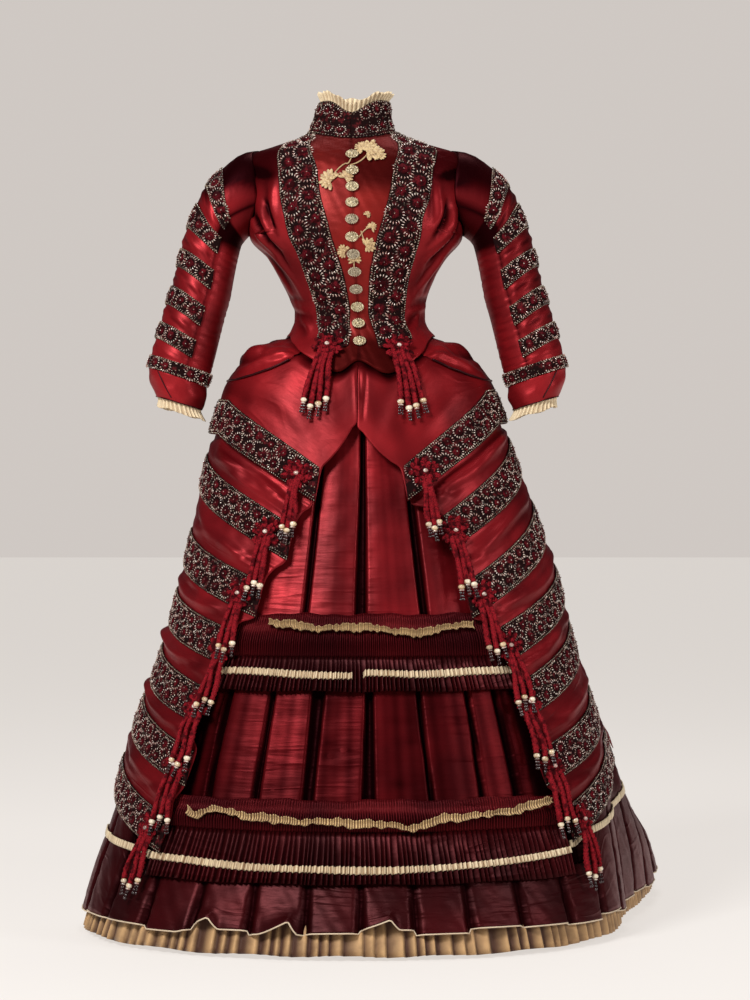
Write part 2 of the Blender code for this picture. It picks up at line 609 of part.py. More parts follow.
def build_sleeve(side, sign, holder):
    """A sleeve with five slanting bands raised in its outer points, and satin puffed between them."""
    places = [(0.0, 0.0, 0.0)]
    for k, (upper, lower, drop) in enumerate(SLEEVE_BANDS):
        places.append((upper, drop, SLEEVE_RELIEF))
        places.append((lower, drop, SLEEVE_RELIEF))
        following = (SLEEVE_BANDS + (LOW_BAND,))[k + 1]
        places.append(((lower + following[0]) / 2, (drop + following[2]) / 2, SLEEVE_PUFF))
    places.append((LOW_BAND[0], 0.0, 0.0))
    places.append((LOW_BAND[1], 0.0, 0.0))
    turns = [360 * k / SLEEVE_SIDES for k in range(SLEEVE_SIDES)]
    outer = [[armhole_point(sign, t, SEAM) for t in turns]]
    middle = sum(outer[0], Vector()) / SLEEVE_SIDES
    inner = [[p + (middle - p).normalized() * CLOTH + Vector((sign * SEAM, 0, 0)) for p in outer[0]]]
    for place, drop, relief in places:
        outer_row = []
        inner_row = []
        for turn in turns:
            facing = max(sign * math.sin(math.radians(turn + sign * SLEEVE_BAND_TURN)), 0.0)
            section = section_at(SLEEVES, place + drop * (0.5 - facing))
            outer_row.append(ring_point(section, sign, turn, relief * facing))
            inner_row.append(ring_point(section, sign, turn, -CLOTH))
        outer.append(outer_row)
        inner.append(inner_row)
    wall("sleeve_" + side, outer, inner, "satin_red", holder, closed=True)
    band_out = SEAM + TRIM
    rows = [section_at(SLEEVES, place) for place in LOW_BAND[:2]]
    outer = [[ring_point(section, sign, t, band_out) for t in turns] for section in rows]
    inner = [[ring_point(section, sign, t, SEAM) for t in turns] for section in rows]
    wall("sleeve_low_band_" + side, outer, inner, "trim_band", holder, closed=True)


def build_cuff(side, sign, holder):
    """The turned-back cuff below the last band, and the ruffle inside its lower edge."""
    turns = [360 * k / SLEEVE_SIDES for k in range(SLEEVE_SIDES)]
    outer = [[ring_point(section, sign, t, 0.0) for t in turns] for section in CUFFS]
    inner = [[ring_point(section, sign, t, -CLOTH) for t in turns] for section in CUFFS]
    wall("cuff_" + side, outer, inner, "satin_red", holder, closed=True)
    tucked = -CLOTH - 2 * LAP
    drop = Vector((-sign * CUFF_RUFFLE_SHIFT, 0.0, -CUFF_RUFFLE_FALL))
    rows = (
        (section_at(CUFFS, CUFF_RUFFLE_START), tucked, 0.0, 0.0),
        (CUFFS[-1], tucked, 0.0, CUFF_RUFFLE_LEVEL),
        (CUFFS[-1], -CLOTH - SEAM, CUFF_RUFFLE_WAVE, 1.0),
    )
    outer = []
    inner = []
    for section, out, wave, fall in rows:
        row_out = []
        row_in = []
        for turn in turns:
            after = turn + 360 / SLEEVE_SIDES
            for points, depth in ((row_out, 0.0), (row_in, RUFFLE)):
                here = ring_point(section, sign, turn, out - depth)
                ahead = ring_point(section, sign, after, out - depth)
                swell = ring_point(section, sign, turn + 180 / SLEEVE_SIDES, out + wave - depth)
                points.append(here + drop * fall)
                points.append((swell if wave else (here + ahead) / 2) + drop * fall)
        outer.append(row_out)
        inner.append(row_in)
    wall("cuff_ruffle_" + side, outer, inner, "cream_silk", holder, closed=True)


def band_line(side, band, angle):
    """Height of a skirt band's middle line at an angle from the centre front."""
    row = dict(zip(BAND_COLUMNS, BANDS[band]))
    limit = SLOPE_END if band else FIRST_SLOPE_END
    flat = FLAT_SHARE if band else FIRST_FLAT_SHARE
    reach = angle if angle < limit else limit + flat * (angle - limit)
    return row[side + "_height"] + row[side + "_rise"] * (reach - row[side + "_angle"])


def band_start(side, band):
    return dict(zip(BAND_COLUMNS, BANDS[band]))[side + "_angle"]


def tuck_out(angle):
    """How deep the top of the skirt's layers lies under the basque and the hip drapes."""
    return mix(TUCK_OUT, SIDE_TUCK_OUT, ramp(abs(angle), HIP_START - 8.0, HIP_START))


def below_edge(edge, height):
    """0 under an edge, 1 once a layer has come out from under it."""
    return ramp(edge - height, 0.0, EMERGING)


def build_polonaise(side, sign, holder):
    """The bodice's front skirt: closed at the centre, then parted, with the first band along its edge."""
    start = band_start(side, 0)
    last = POLONAISE_COLUMNS - 1
    cells = []
    for share, opening in POLONAISE_ROWS:
        edge = mix(POLONAISE_MIDDLE, sign * start, opening) + sign * SEAM_ANGLE
        row = []
        for k in range(POLONAISE_COLUMNS):
            angle = mix(edge, sign * (SIDE_SEAM - SEAM_ANGLE), (k / last) ** POLONAISE_CROWDING)
            under_hip = ramp(abs(angle), HIP_START - 8.0, HIP_START + 2.0)
            cover = mix(basque_line(angle), smooth_value(HIP_LINE, abs(angle)), under_hip)
            upper = cover + mix(POLONAISE_TUCK, HIP_TUCK, under_hip)
            emerging = cover + HIP_EMERGING * under_hip
            line = band_line(side, 0, sign * angle)
            height = upper if share < 0 else mix(emerging, line + BAND_HALF, share)
            if share > 1:
                height = line - BAND_HALF
            out = mix(tuck_out(angle), POLONAISE_OUT, below_edge(cover, height))
            if 0 < share < 1:
                turn = POLONAISE_FOLD_TURN * k + POLONAISE_FOLD_SLANT * share
                out += POLONAISE_FOLD * math.sin(turn) * (1 - under_hip)
            row.append((angle, height, out))
        cells.append(row)
    form_wall("polonaise_" + side, cells, CLOTH, "satin_red", holder)
    return cells


def build_hip_drape(side, sign, holder):
    """The folded drape that runs from the basque's corner round the hip to the bustle."""
    cells = []
    for share, fold in HIP_ROWS:
        row = []
        for angle in spread(sign * HIP_START, sign * (SIDE_SEAM - SEAM_ANGLE), HIP_CELLS):
            upper = basque_line(angle)
            lower = smooth_value(HIP_LINE, abs(angle)) - HIP_LAP
            height = upper + TUCK_HEIGHT if share < 0 else mix(upper, lower, share)
            free = HIP_OUT + HIP_SHELF * (1 - share) + fold
            out = mix(TUCK_OUT, free, below_edge(upper, height))
            row.append((angle, height, out))
        cells.append(row)
    form_wall("hip_drape_" + side, cells, CLOTH, "satin_red", holder)


def overskirt_rows(side):
    """Rows down the overskirt: (height above a band's middle line, band, front angle, puff)."""
    top_start = band_start(side, 0) + 2.0
    rows = [(0.0, 0, top_start, 0.0), (-BAND_HALF - TUCK_HEIGHT, 0, top_start, 0.0)]
    for band in range(1, len(BANDS)):
        start = band_start(side, band)
        before = band_start(side, band - 1)
        rows.append((None, band, (before + start) / 2 + 1.5, 1.0))
        rows.append((BAND_HALF, band, start, 0.0))
        rows.append((-BAND_HALF, band, start + 1.2, 0.0))
    return rows


def build_overskirt(side, sign, holder):
    """A draped side of the overskirt: satin puffed between the bands, which run down to its front edge."""
    cells = []
    for number, (rise, band, start, puff) in enumerate(overskirt_rows(side)):
        row = []
        for k in range(OVERSKIRT_COLUMNS):
            share = k / (OVERSKIRT_COLUMNS - 1)
            angle = mix(start, SIDE_SEAM - SEAM_ANGLE, share)
            if rise is None:
                height = (band_line(side, band - 1, angle) + band_line(side, band, angle)) / 2
            else:
                height = band_line(side, band, angle) + rise
            swell = mix(PUFF_LEAST, 1.0, math.sin(math.pi * min(share * PUFF_REACH, 1.0) ** 0.8))
            fold = 1.0 + PUFF_UNEVEN * math.sin(PUFF_TURNS[0] * k + PUFF_TURNS[1] * number)
            row.append((sign * angle, height, puff * PUFF * swell * fold if band else UNDER_POLONAISE))
        cells.append(row)
    form_wall("overskirt_" + side, cells, CLOTH, "satin_red", holder)
    return cells


def build_bustle(holder):
    """The drape behind: swags across the bustle, falling in folds to below the bands."""
    angles = spread(SIDE_SEAM + SEAM_ANGLE, 360 - SIDE_SEAM - SEAM_ANGLE, BUSTLE_COLUMNS)
    cells = []
    for r, share in enumerate(BUSTLE_SHARES):
        row = []
        for c, angle in enumerate(angles):
            across = math.sin(math.pi * c / BUSTLE_COLUMNS)
            zigzag = math.cos(c * math.pi)
            lower = BUSTLE_HEM - BUSTLE_HEM_DIP * across + BUSTLE_HEM_POINT * zigzag
            upper = basque_line(angle)
            height = upper + TUCK_HEIGHT if share < 0 else mix(upper, lower, share)
            height -= BUSTLE_SAG * across * math.sin(math.pi * max(share, 0.0))
            swag = BUSTLE_SWAG * math.sin(r * BUSTLE_SWAG_TURN) + BUSTLE_FLUTE * zigzag
            free = BUSTLE_OUT * across + swag * min(across * 2.0, 1.0)
            out = mix(TUCK_OUT, free, below_edge(upper, height))
            row.append((angle, height, out))
        cells.append(row)
    form_wall("bustle_drape", cells, CLOTH, "satin_red", holder)


def build_underskirt(holder):
    """The front with its broad box pleats, and the back that carries the train."""
    angles = [-UNDERSKIRT_SEAM + SEAM_ANGLE / 2]
    dips = [0.0]
    for middle in PLEAT_ANGLES:
        angles += [middle - PLEAT_HALF, middle, middle + PLEAT_HALF]
        dips += [0.0, PLEAT_DEPTH, 0.0]
    angles.append(UNDERSKIRT_SEAM - SEAM_ANGLE / 2)
    dips.append(0.0)
    front = []
    for height in UNDERSKIRT_HEIGHTS:
        open_share = ramp(0.93 - height, 0.0, 0.10)
        row = []
        for angle, dip in zip(angles, dips):
            row.append((angle, height, smooth_value(UNDERSKIRT_TUCK, height) - dip * open_share))
        front.append(row)
    form_wall("underskirt_front", front, CLOTH, "satin_red", holder)
    start = UNDERSKIRT_SEAM + SEAM_ANGLE / 2
    angles = spread(start, 360 - start, BACK_SKIRT_CELLS)
    back = [[(a, h, smooth_value(UNDERSKIRT_TUCK, h)) for a in angles] for h in UNDERSKIRT_HEIGHTS]
    form_wall("back_skirt", back, CLOTH, "satin_red", holder)


def pleated_cells(angles, rows):
    """Cells of a pleated fall: each row goes from its low out to its high one and back, column by column."""
    return [[(a, height, high if k % 2 else low) for k, a in enumerate(angles)] for height, low, high in rows]


def build_flounce(name, holder):
    """A flounce on the underskirt's front: a heading with a wavy frill, and the pleated fall below it."""
    reach, pleats, heading, fall = FLOUNCES[name]
    angles = spread(-reach, reach, 2 * pleats)
    form_wall(name + "_heading", pleated_cells(angles, heading), PLEATED, "satin_red", holder)
    form_wall(name, pleated_cells(angles, fall), PLEATED, "satin_red", holder)


def hem_top(angle):
    """The hem flounce's upper edge: under the lower flounce in front, higher round the sides and back."""
    turned = abs((angle + 180) % 360 - 180)
    return mix(HEM_FRONT_TOP, HEM_SIDE_TOP, ramp(turned, 60.0, 72.0))


def back_lift(angle):
    return BACK_HEM_OUT * ramp(abs(angle), 80.0, 115.0)


def build_hem(holder):
    """The box-pleated hem flounce all round, and the dust ruffle below it."""
    cells = []
    for share, low, high in HEM_ROWS:
        row = []
        for k in range(HEM_PLEATS):
            for place, raised in HEM_PROFILE:
                angle = -180 + 360 * (k + place) / HEM_PLEATS
                bottom = HEM_BOTTOM + HEM_FLIP * math.sin(k * 2.4)
                height = mix(hem_top(angle), bottom, share)
                row.append((angle, height, mix(low, high, raised) + back_lift(angle)))
        cells.append(row)
    form_wall("hem_flounce", cells, PLEATED, "satin_red", holder, closed=True)
    angles = spread(-180, 180, 2 * DUST_FOLDS)[:-1]
    form_wall("dust_ruffle", pleated_cells(angles, DUST_ROWS), CLOTH, "tan_cotton", holder, closed=True)


def disc(centre_angle, centre_height, back, front, half_size, sides, taper):
    """Points and faces of a low domed disc that stands on the form, its back tangent to it."""
    half_width, half_height = half_size
    middle = form_point(centre_angle, centre_height)
    normal = form_normal(centre_angle, centre_height)
    across = Vector((0.0, 0.0, 1.0)).cross(normal).normalized()
    upward = normal.cross(across)
    points = []
    for out, size in ((back, 1.0), (front, taper)):
        for k in range(sides):
            turn = 2 * math.pi * k / sides
            points.append(middle + normal * out + across * (half_width * size * math.cos(turn))
                          + upward * (half_height * size * math.sin(turn)))
    faces = [tuple(range(sides))[::-1], tuple(range(sides, 2 * sides))]
    for k in range(sides):
        faces.append((k, (k + 1) % sides, sides + (k + 1) % sides, sides + k))
    return points, faces


def strand(path):
    """Points and faces of one tasselled cord, three-sided: path rows are (angle, height, out, radius)."""
    sides = 3
    points = []
    for angle, height, out, radius in path:
        middle = on_form(angle, height, out)
        normal = form_normal(angle, height)
        across = Vector((0.0, 0.0, 1.0)).cross(normal).normalized()
        for k in range(sides):
            turn = 2 * math.pi * k / sides
            points.append(middle + across * (radius * math.cos(turn)) + normal * (radius * math.sin(turn)))
    faces = [tuple(range(sides))]
    for r in range(len(path) - 1):
        for k in range(sides):
            a = r * sides + k
            b = r * sides + (k + 1) % sides
            faces.append((a, a + sides, b + sides, b))
    last = (len(path) - 1) * sides
    faces.append(tuple(range(last, last + sides))[::-1])
    return points, faces


def join(shapes):
    """Several shapes' points and faces as one."""
    points = []
    faces = []
    for some_points, some_faces in shapes:
        start = len(points)
        points += some_points
        faces += [tuple(start + k for k in face) for face in some_faces]
    return points, faces


def union(target, name, shape, finish, holder):
    """Fuse a helper shape into the target."""
    points, faces = shape
    helper = add_object(name, points, faces, finish, holder)
    helper.hide_render = True
    helper.display_type = "WIRE"
    joined = target.modifiers.new("fuse " + name, "BOOLEAN")
    joined.operation = "UNION"
    joined.object = helper


def tassel_paths(angle, height, out, fall_out, lengths, gap):
    """Cords that start inside a rosette, drop below it and end in a bead and a tail."""
    paths = []
    count = len(lengths)
    for k, length in enumerate(lengths):
        offset = (k - (count - 1) / 2) * gap
        end = angle + offset * CORD_END_SHARE
        low = height - length
        root = (angle + offset * CORD_ROOT_SHARE, height - CORD_ROOT, out, CORD_RADIUS)
        paths.append((root, (end, low + BEAD_LENGTH, fall_out, CORD_RADIUS),
                      (end, low, fall_out, BEAD_RADIUS), (end, low - TAIL_LENGTH, fall_out, TAIL_RADIUS)))
    return paths


def build_skirt_band(side, sign, band, panel, upper_row, holder):
    """A beaded band made from the panel's own points, with the rosette and cords at its front end."""
    rows = [[(a, h, out + SEAM + TRIM) for a, h, out in row] for row in panel[upper_row:upper_row + 2]]
    base = rows[0][0][2]
    name = "skirt_band_%s%d" % (side, band + 1)
    made = form_wall(name, rows, TRIM, "trim_band", holder)
    angle = dict(zip(BAND_COLUMNS, BANDS[band]))[side + "_rosette"]
    height = band_line(side, band, angle) - ROSETTE_DROP
    seat = base - ROSETTE_SINK * TRIM
    rosette = disc(sign * angle, height, seat, base + ROSETTE_HIGH, ROSETTE_HALF, ROSETTE_SIDES, ROSETTE_TAPER)
    union(made, name + "_rosette", rosette, "chenille_red", holder)
    paths = tassel_paths(sign * angle, height, base + ROSETTE_HIGH / 2, base + TASSEL_OUT,
                         CORD_LENGTHS[band % 2], CORD_GAP)
    union(made, name + "_cords", join([strand(path) for path in paths]), "chenille_red", holder)


def build_waist_tassel(side, holder):
    """A waist rosette with four cords, on the end of a lapel band."""
    angle, height = WAIST_TASSELS[side]
    base = SEAM + TRIM + WAIST_SEAT
    points, faces = disc(angle, height, base, base + WAIST_ROSETTE_HIGH, WAIST_ROSETTE_HALF, 8, ROSETTE_TAPER)
    made = add_object("waist_tassel_" + side, points, faces, "chenille_red", holder)
    paths = tassel_paths(angle, height, base + WAIST_ROSETTE_HIGH / 2, base + TASSEL_OUT,
                         WAIST_CORD_LENGTHS, WAIST_CORD_GAP)
    union(made, "waist_cords_" + side, join([strand(path) for path in paths]), "chenille_red", holder)


def build_buttons(holder):
    """The fastening: faceted buttons down the vest's closing."""
    for number, (height, seat) in enumerate(BUTTONS, start=1):
        angle = BUTTON_ANGLE if height > BUTTON_TURN else LOW_BUTTON_ANGLE
        points, faces = disc(angle, height, seat, seat + BUTTON_HIGH, BUTTON_HALF, 8, BUTTON_TAPER)
        add_object("button_%02d" % number, points, faces, "button_metal", holder)


def clear_scene():
    for old in list(bpy.data.objects):
        bpy.data.objects.remove(old)


def main():
    clear_scene()
    holder = bpy.data.objects.new("wearer_shoulders", None)
    bpy.context.scene.collection.objects.link(holder)
    holder.location = (0.0, 0.0, -HOLD_HEIGHT)
    build_bodice(holder)
    build_collar(holder)
    build_buttons(holder)
    build_underskirt(holder)
    for name in FLOUNCES:
        build_flounce(name, holder)
    build_hem(holder)
    build_bustle(holder)
    for side, sign in SIDES.items():
        build_sleeve(side, sign, holder)
        build_cuff(side, sign, holder)
        build_hip_drape(side, sign, holder)
        build_waist_tassel(side, holder)
        polonaise = build_polonaise(side, sign, holder)
        overskirt = build_overskirt(side, sign, holder)
        build_skirt_band(side, sign, 0, polonaise, len(POLONAISE_ROWS) - 2, holder)
        for band in range(1, len(BANDS)):
            build_skirt_band(side, sign, band, overskirt, 3 * band, holder)


main()
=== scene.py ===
"""The looks of a worn Victorian dress: red satin with beaded bands, pleated flounces and a short train.

Metres, +Z up; the origin lies between the wearer's shoulders. The front faces -Y and +X is the wearer's left.
Heights in the tables are measured up from the floor under the hem. Angles go round the dress in degrees: 0 is
the centre front, 90 the wearer's left side, 180 the centre back. Every piece of cloth is a thin shell worked
out from an angle, a height and how far it stands out from the dress's form.
"""
import logging
import math
from dataclasses import dataclass, field
from enum import Enum

import bpy
import numpy as np
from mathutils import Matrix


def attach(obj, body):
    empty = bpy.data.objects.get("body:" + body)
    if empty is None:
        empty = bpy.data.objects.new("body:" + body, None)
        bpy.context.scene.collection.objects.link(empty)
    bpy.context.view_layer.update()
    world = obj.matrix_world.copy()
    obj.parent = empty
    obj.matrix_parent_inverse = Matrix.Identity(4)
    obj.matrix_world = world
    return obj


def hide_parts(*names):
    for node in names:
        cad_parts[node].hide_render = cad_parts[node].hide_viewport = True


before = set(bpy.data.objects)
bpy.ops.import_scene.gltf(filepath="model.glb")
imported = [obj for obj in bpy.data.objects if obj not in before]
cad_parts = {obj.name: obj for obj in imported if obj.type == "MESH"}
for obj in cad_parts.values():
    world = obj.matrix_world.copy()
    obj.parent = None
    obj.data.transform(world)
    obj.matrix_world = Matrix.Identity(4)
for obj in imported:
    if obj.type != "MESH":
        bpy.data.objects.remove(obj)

LOG = logging.getLogger("dress")
BODY = "root"
HOLD_HEIGHT = 1.28
Array = np.ndarray
Colour = tuple[float, float, float]
Rows = tuple[tuple[float, ...], ...]


class Side(Enum):
    """The wearer's right and left."""

    RIGHT = "r"
    LEFT = "l"

    @property
    def sign(self) -> int:
        """-1 on the wearer's right, +1 on the left."""
        return -1 if self is Side.RIGHT else 1

    def of(self, name: str) -> str:
        """The name of a piece on this side."""
        return "%s_%s" % (name, self.value)


class Held(Enum):
    """How a sheet of cloth is held."""

    DRAPED = "draped"
    HUNG = "hung"
    GATHERED = "gathered"
    STRETCHED = "stretched"


class Curve:
    """A smooth curve through a table of values that never swings past its neighbours."""

    def __init__(self, keys: Array, values: Array) -> None:
        """Work out the slopes.

        Args:
            keys: rising numbers.
            values: a value, or a row of values, for each key.
        """
        self.keys = np.asarray(keys, float)
        self.values = np.asarray(values, float)
        spans = np.diff(self.keys).reshape((-1,) + (1,) * (self.values.ndim - 1))
        steps = np.diff(self.values, axis=0) / spans
        self.slopes = np.zeros_like(self.values)
        self.slopes[0] = steps[0]
        self.slopes[-1] = steps[-1]
        product = steps[:-1] * steps[1:]
        total = steps[:-1] + steps[1:]
        rising = product > 0
        self.slopes[1:-1] = np.where(rising, 2 * product / np.where(rising, total, 1.0), 0.0)

    def __call__(self, x: Array) -> Array:
        """Read the curve.

        Args:
            x: where to read it; held at the first and last keys.

        Returns:
            The values there.
        """
        x = np.clip(np.asarray(x, float), self.keys[0], self.keys[-1])
        k = np.clip(np.searchsorted(self.keys, x, side="right") - 1, 0, len(self.keys) - 2)
        span = self.keys[k + 1] - self.keys[k]
        t = (x - self.keys[k]) / span
        if self.values.ndim > 1:
            span = span[..., None]
            t = t[..., None]
        return ((2 * t**3 - 3 * t**2 + 1) * self.values[k] + (t**3 - 2 * t**2 + t) * span * self.slopes[k]
                + (3 * t**2 - 2 * t**3) * self.values[k + 1] + (t**3 - t**2) * span * self.slopes[k + 1])


def table_curves(table: tuple, columns: tuple[str, ...]) -> dict[str, Curve]:
    """A curve for each column of a table but its first, which is the key."""
    rows = np.array(sorted(table), float)
    return {name: Curve(rows[:, 0], rows[:, k]) for k, name in enumerate(columns) if k}


def pair_curve(pairs: tuple) -> Curve:
    """A curve through (x, value) pairs."""
    rows = np.array(pairs, float)
    return Curve(rows[:, 0], rows[:, 1])


def ramp(x: Array, start: float, end: float) -> Array:
    """0 before start, 1 after end, smooth between."""
    t = np.clip((np.asarray(x, float) - start) / (end - start), 0.0, 1.0)
    return t * t * (3 - 2 * t)


def mix(a: Array, b: Array, t: Array) -> Array:
    """The value a share of the way from a to b."""
    return a + (b - a) * t


def grid_of(rows: int, columns: int) -> tuple[Array, Array]:
    """Shares from 0 to 1 down and across a patch, rows by columns."""
    return np.meshgrid(np.linspace(0, 1, rows), np.linspace(0, 1, columns), indexing="ij")


def ring_of(rows: int, columns: int) -> tuple[Array, Array]:
    """Shares down and round a closed patch, without the column that would lie on its first."""
    down, around = grid_of(rows, columns + 1)
    return down[:, :-1], around[:, :-1]


def cells(rows: int, columns: int) -> list[Array]:
    """The row and the column of each cell of a grid."""
    return [a.ravel() for a in np.meshgrid(np.arange(rows), np.arange(columns), indexing="ij")]


def unit(vectors: Array) -> Array:
    """The vectors at length one."""
    return vectors / np.maximum(np.linalg.norm(vectors, axis=-1, keepdims=True), 1e-9)


def steps_along(points: Array, axis: int) -> Array:
    """The distances from each point to the next."""
    return np.linalg.norm(np.diff(points, axis=axis), axis=-1)


def spokes(turn: Array, side: Array, up: Array) -> Array:
    """Directions at turns, in radians, from side towards up."""
    return np.cos(turn)[:, None] * side + np.sin(turn)[:, None] * up


def sine(degrees: Array) -> Array:
    """The sine of an angle in degrees."""
    return np.sin(np.radians(degrees))


def cosine(degrees: Array) -> Array:
    """The cosine of an angle in degrees."""
    return np.cos(np.radians(degrees))


def hump(x: Array, middle: float, half: float) -> Array:
    """A soft hump, 1 at its middle."""
    return np.exp(-(((x - middle) / half) ** 2))


def gathers(phase: Array) -> Array:
    """Height of round gathers, 0 to 1, a gather for each whole step of the phase."""
    return 0.5 - 0.5 * np.cos(2 * np.pi * phase)


@dataclass
class DressForm:
    """The shape that the cloth is worn on: a rounded section at each height, swept back towards the train."""

    columns: tuple[str, ...] = ("height", "centre", "right", "left", "front", "back", "sweep", "square")
    table: Rows = (
        (1.372, -0.010, 0.056, 0.056, 0.049, 0.052, 0.0, 2.0),
        (1.312, -0.016, 0.070, 0.069, 0.056, 0.060, 0.0, 2.0),
        (1.300, -0.015, 0.082, 0.081, 0.064, 0.066, 0.0, 2.0),
        (1.290, -0.014, 0.107, 0.108, 0.072, 0.072, 0.0, 2.0),
        (1.280, -0.013, 0.138, 0.140, 0.080, 0.078, 0.0, 2.1),
        (1.268, -0.012, 0.172, 0.174, 0.089, 0.084, 0.0, 2.2),
        (1.250, -0.011, 0.178, 0.178, 0.100, 0.090, 0.0, 2.3),
        (1.200, -0.010, 0.176, 0.176, 0.118, 0.098, 0.0, 2.4),
        (1.150, -0.010, 0.178, 0.179, 0.128, 0.100, 0.0, 2.3),
        (1.130, -0.010, 0.174, 0.175, 0.129, 0.098, 0.0, 2.2),
        (1.097, -0.008, 0.146, 0.146, 0.122, 0.092, 0.0, 2.1),
        (1.064, -0.006, 0.129, 0.125, 0.108, 0.084, 0.0, 2.0),
        (1.031, -0.004, 0.115, 0.111, 0.092, 0.076, 0.0, 2.0),
        (1.010, -0.003, 0.108, 0.107, 0.084, 0.072, 0.0, 2.0),
        (0.998, -0.003, 0.108, 0.107, 0.083, 0.074, 0.0, 2.0),
        (0.982, -0.002, 0.114, 0.112, 0.087, 0.084, 0.0, 2.0),
        (0.970, 0.000, 0.124, 0.121, 0.092, 0.100, 0.0, 2.0),
        (0.957, 0.000, 0.143, 0.131, 0.098, 0.114, 0.0, 2.0),
        (0.932, 0.000, 0.185, 0.168, 0.110, 0.147, 0.0, 2.1),
        (0.899, 0.000, 0.209, 0.200, 0.124, 0.186, 0.0, 2.2),
        (0.866, 0.000, 0.226, 0.217, 0.134, 0.212, 0.0, 2.2),
        (0.800, 0.000, 0.247, 0.241, 0.152, 0.246, 0.0, 2.2),
        (0.734, 0.000, 0.263, 0.265, 0.172, 0.266, 0.010, 2.2),
        (0.635, 0.000, 0.283, 0.301, 0.202, 0.292, 0.022, 2.2),
        (0.569, 0.000, 0.299, 0.323, 0.221, 0.310, 0.034, 2.2),
        (0.503, 0.000, 0.315, 0.338, 0.240, 0.330, 0.046, 2.2),
        (0.437, 0.000, 0.335, 0.356, 0.259, 0.358, 0.062, 2.2),
        (0.371, 0.000, 0.360, 0.375, 0.279, 0.395, 0.084, 2.2),
        (0.305, 0.000, 0.383, 0.395, 0.299, 0.440, 0.112, 2.2),
        (0.239, 0.000, 0.401, 0.410, 0.319, 0.495, 0.150, 2.2),
        (0.170, 0.000, 0.417, 0.418, 0.341, 0.565, 0.200, 2.2),
        (0.100, 0.000, 0.438, 0.424, 0.362, 0.650, 0.260, 2.2),
        (0.000, 0.000, 0.462, 0.428, 0.390, 0.760, 0.300, 2.2),
    )
    sweep_power: float = 1.15
    step: tuple[float, float] = (0.4, 0.002)

    def __post_init__(self) -> None:
        """Read the table into curves."""
        self.curves = table_curves(self.table, self.columns)

    def point(self, angle: Array, height: Array) -> Array:
        """Points on the form.

        Args:
            angle: degrees from the centre front.
            height: metres over the floor.

        Returns:
            World positions in a last axis of three.
        """
        angle, height = np.broadcast_arrays(np.asarray(angle, float), np.asarray(height, float))
        value = {name: curve(height) for name, curve in self.curves.items()}
        leftward, forward = sine(angle), cosine(angle)
        wide = np.where(leftward >= 0, value["left"], value["right"])
        deep = np.where(forward >= 0, value["front"], value["back"])
        power = value["square"]
        reach = ((np.abs(leftward) / wide) ** power + (np.abs(forward) / deep) ** power) ** (-1 / power)
        y = -reach * forward
        swept = value["sweep"] * (np.maximum(y, 0.0) / deep) ** self.sweep_power
        return np.stack([reach * leftward + value["centre"] + swept, y, height - HOLD_HEIGHT], axis=-1)

    def normal(self, angle: Array, height: Array) -> Array:
        """Outward directions of the form.

        Args:
            angle: degrees from the centre front.
            height: metres over the floor.

        Returns:
            Directions of length one.
        """
        turn, rise = self.step
        round_step = self.point(angle + turn, height) - self.point(angle - turn, height)
        down_step = self.point(angle, height - rise) - self.point(angle, height + rise)
        return unit(np.cross(down_step, round_step))

    def axes(self, angle: float, height: float) -> tuple[Array, Array, Array]:
        """Directions at one place of the form.

        Args:
            angle: degrees from the centre front.
            height: metres over the floor.

        Returns:
            The directions outward, sideways and up.
        """
        normal = self.normal(angle, height)
        side = unit(np.cross([0.0, 0.0, 1.0], normal))
        return normal, side, np.cross(normal, side)

    def on(self, angle: Array, height: Array, out: Array) -> Array:
        """Points that stand out from the form."""
        return self.point(angle, height) + self.normal(angle, height) * np.asarray(out)[..., None]

    def half_width(self, height: Array) -> Array:
        """A middling radius, to turn angles into metres."""
        return (self.curves["right"](height) + self.curves["front"](height)) / 2


FORM = DressForm()


@dataclass(frozen=True)
class Crease:
    """A soft fold from one place to another: a ridge with a trough beside it, or the reverse.

    Attributes:
        start: angle and height where it starts.
        end: angle and height where it ends.
        depth: how far it stands out; a trough where it is negative.
        width: half its width, in metres.
        bow: how far its middle bends sideways, in metres.
    """

    start: tuple[float, float]
    end: tuple[float, float]
    depth: float
    width: float
    bow: float = 0.0

    def relief(self, x: Array, y: Array, scale: float) -> Array:
        """How far the fold lifts each point.

        Args:
            x: metres round.
            y: metres up.
            scale: metres for each degree.

        Returns:
            The lift at each point.
        """
        ax, ay = self.start[0] * scale, self.start[1]
        bx, by = self.end[0] * scale, self.end[1]
        length = max(math.hypot(bx - ax, by - ay), 1e-4)
        ux, uy = (bx - ax) / length, (by - ay) / length
        along = ((x - ax) * ux + (y - ay) * uy) / length
        inside = np.clip(along, 0.0, 1.0)
        beyond = (along - inside) * length
        aside = (y - ay) * ux - (x - ax) * uy - self.bow * 4 * inside * (1 - inside)
        fade = np.sin(np.pi * np.clip(inside, 0.04, 0.96)) ** 0.6 * np.exp(-((beyond / self.width) ** 2))
        ridge = np.exp(-((aside / self.width) ** 2))
        trough = 0.55 * np.exp(-(((aside + 1.6 * self.width) / (1.2 * self.width)) ** 2))
        return self.depth * fade * (ridge - trough)


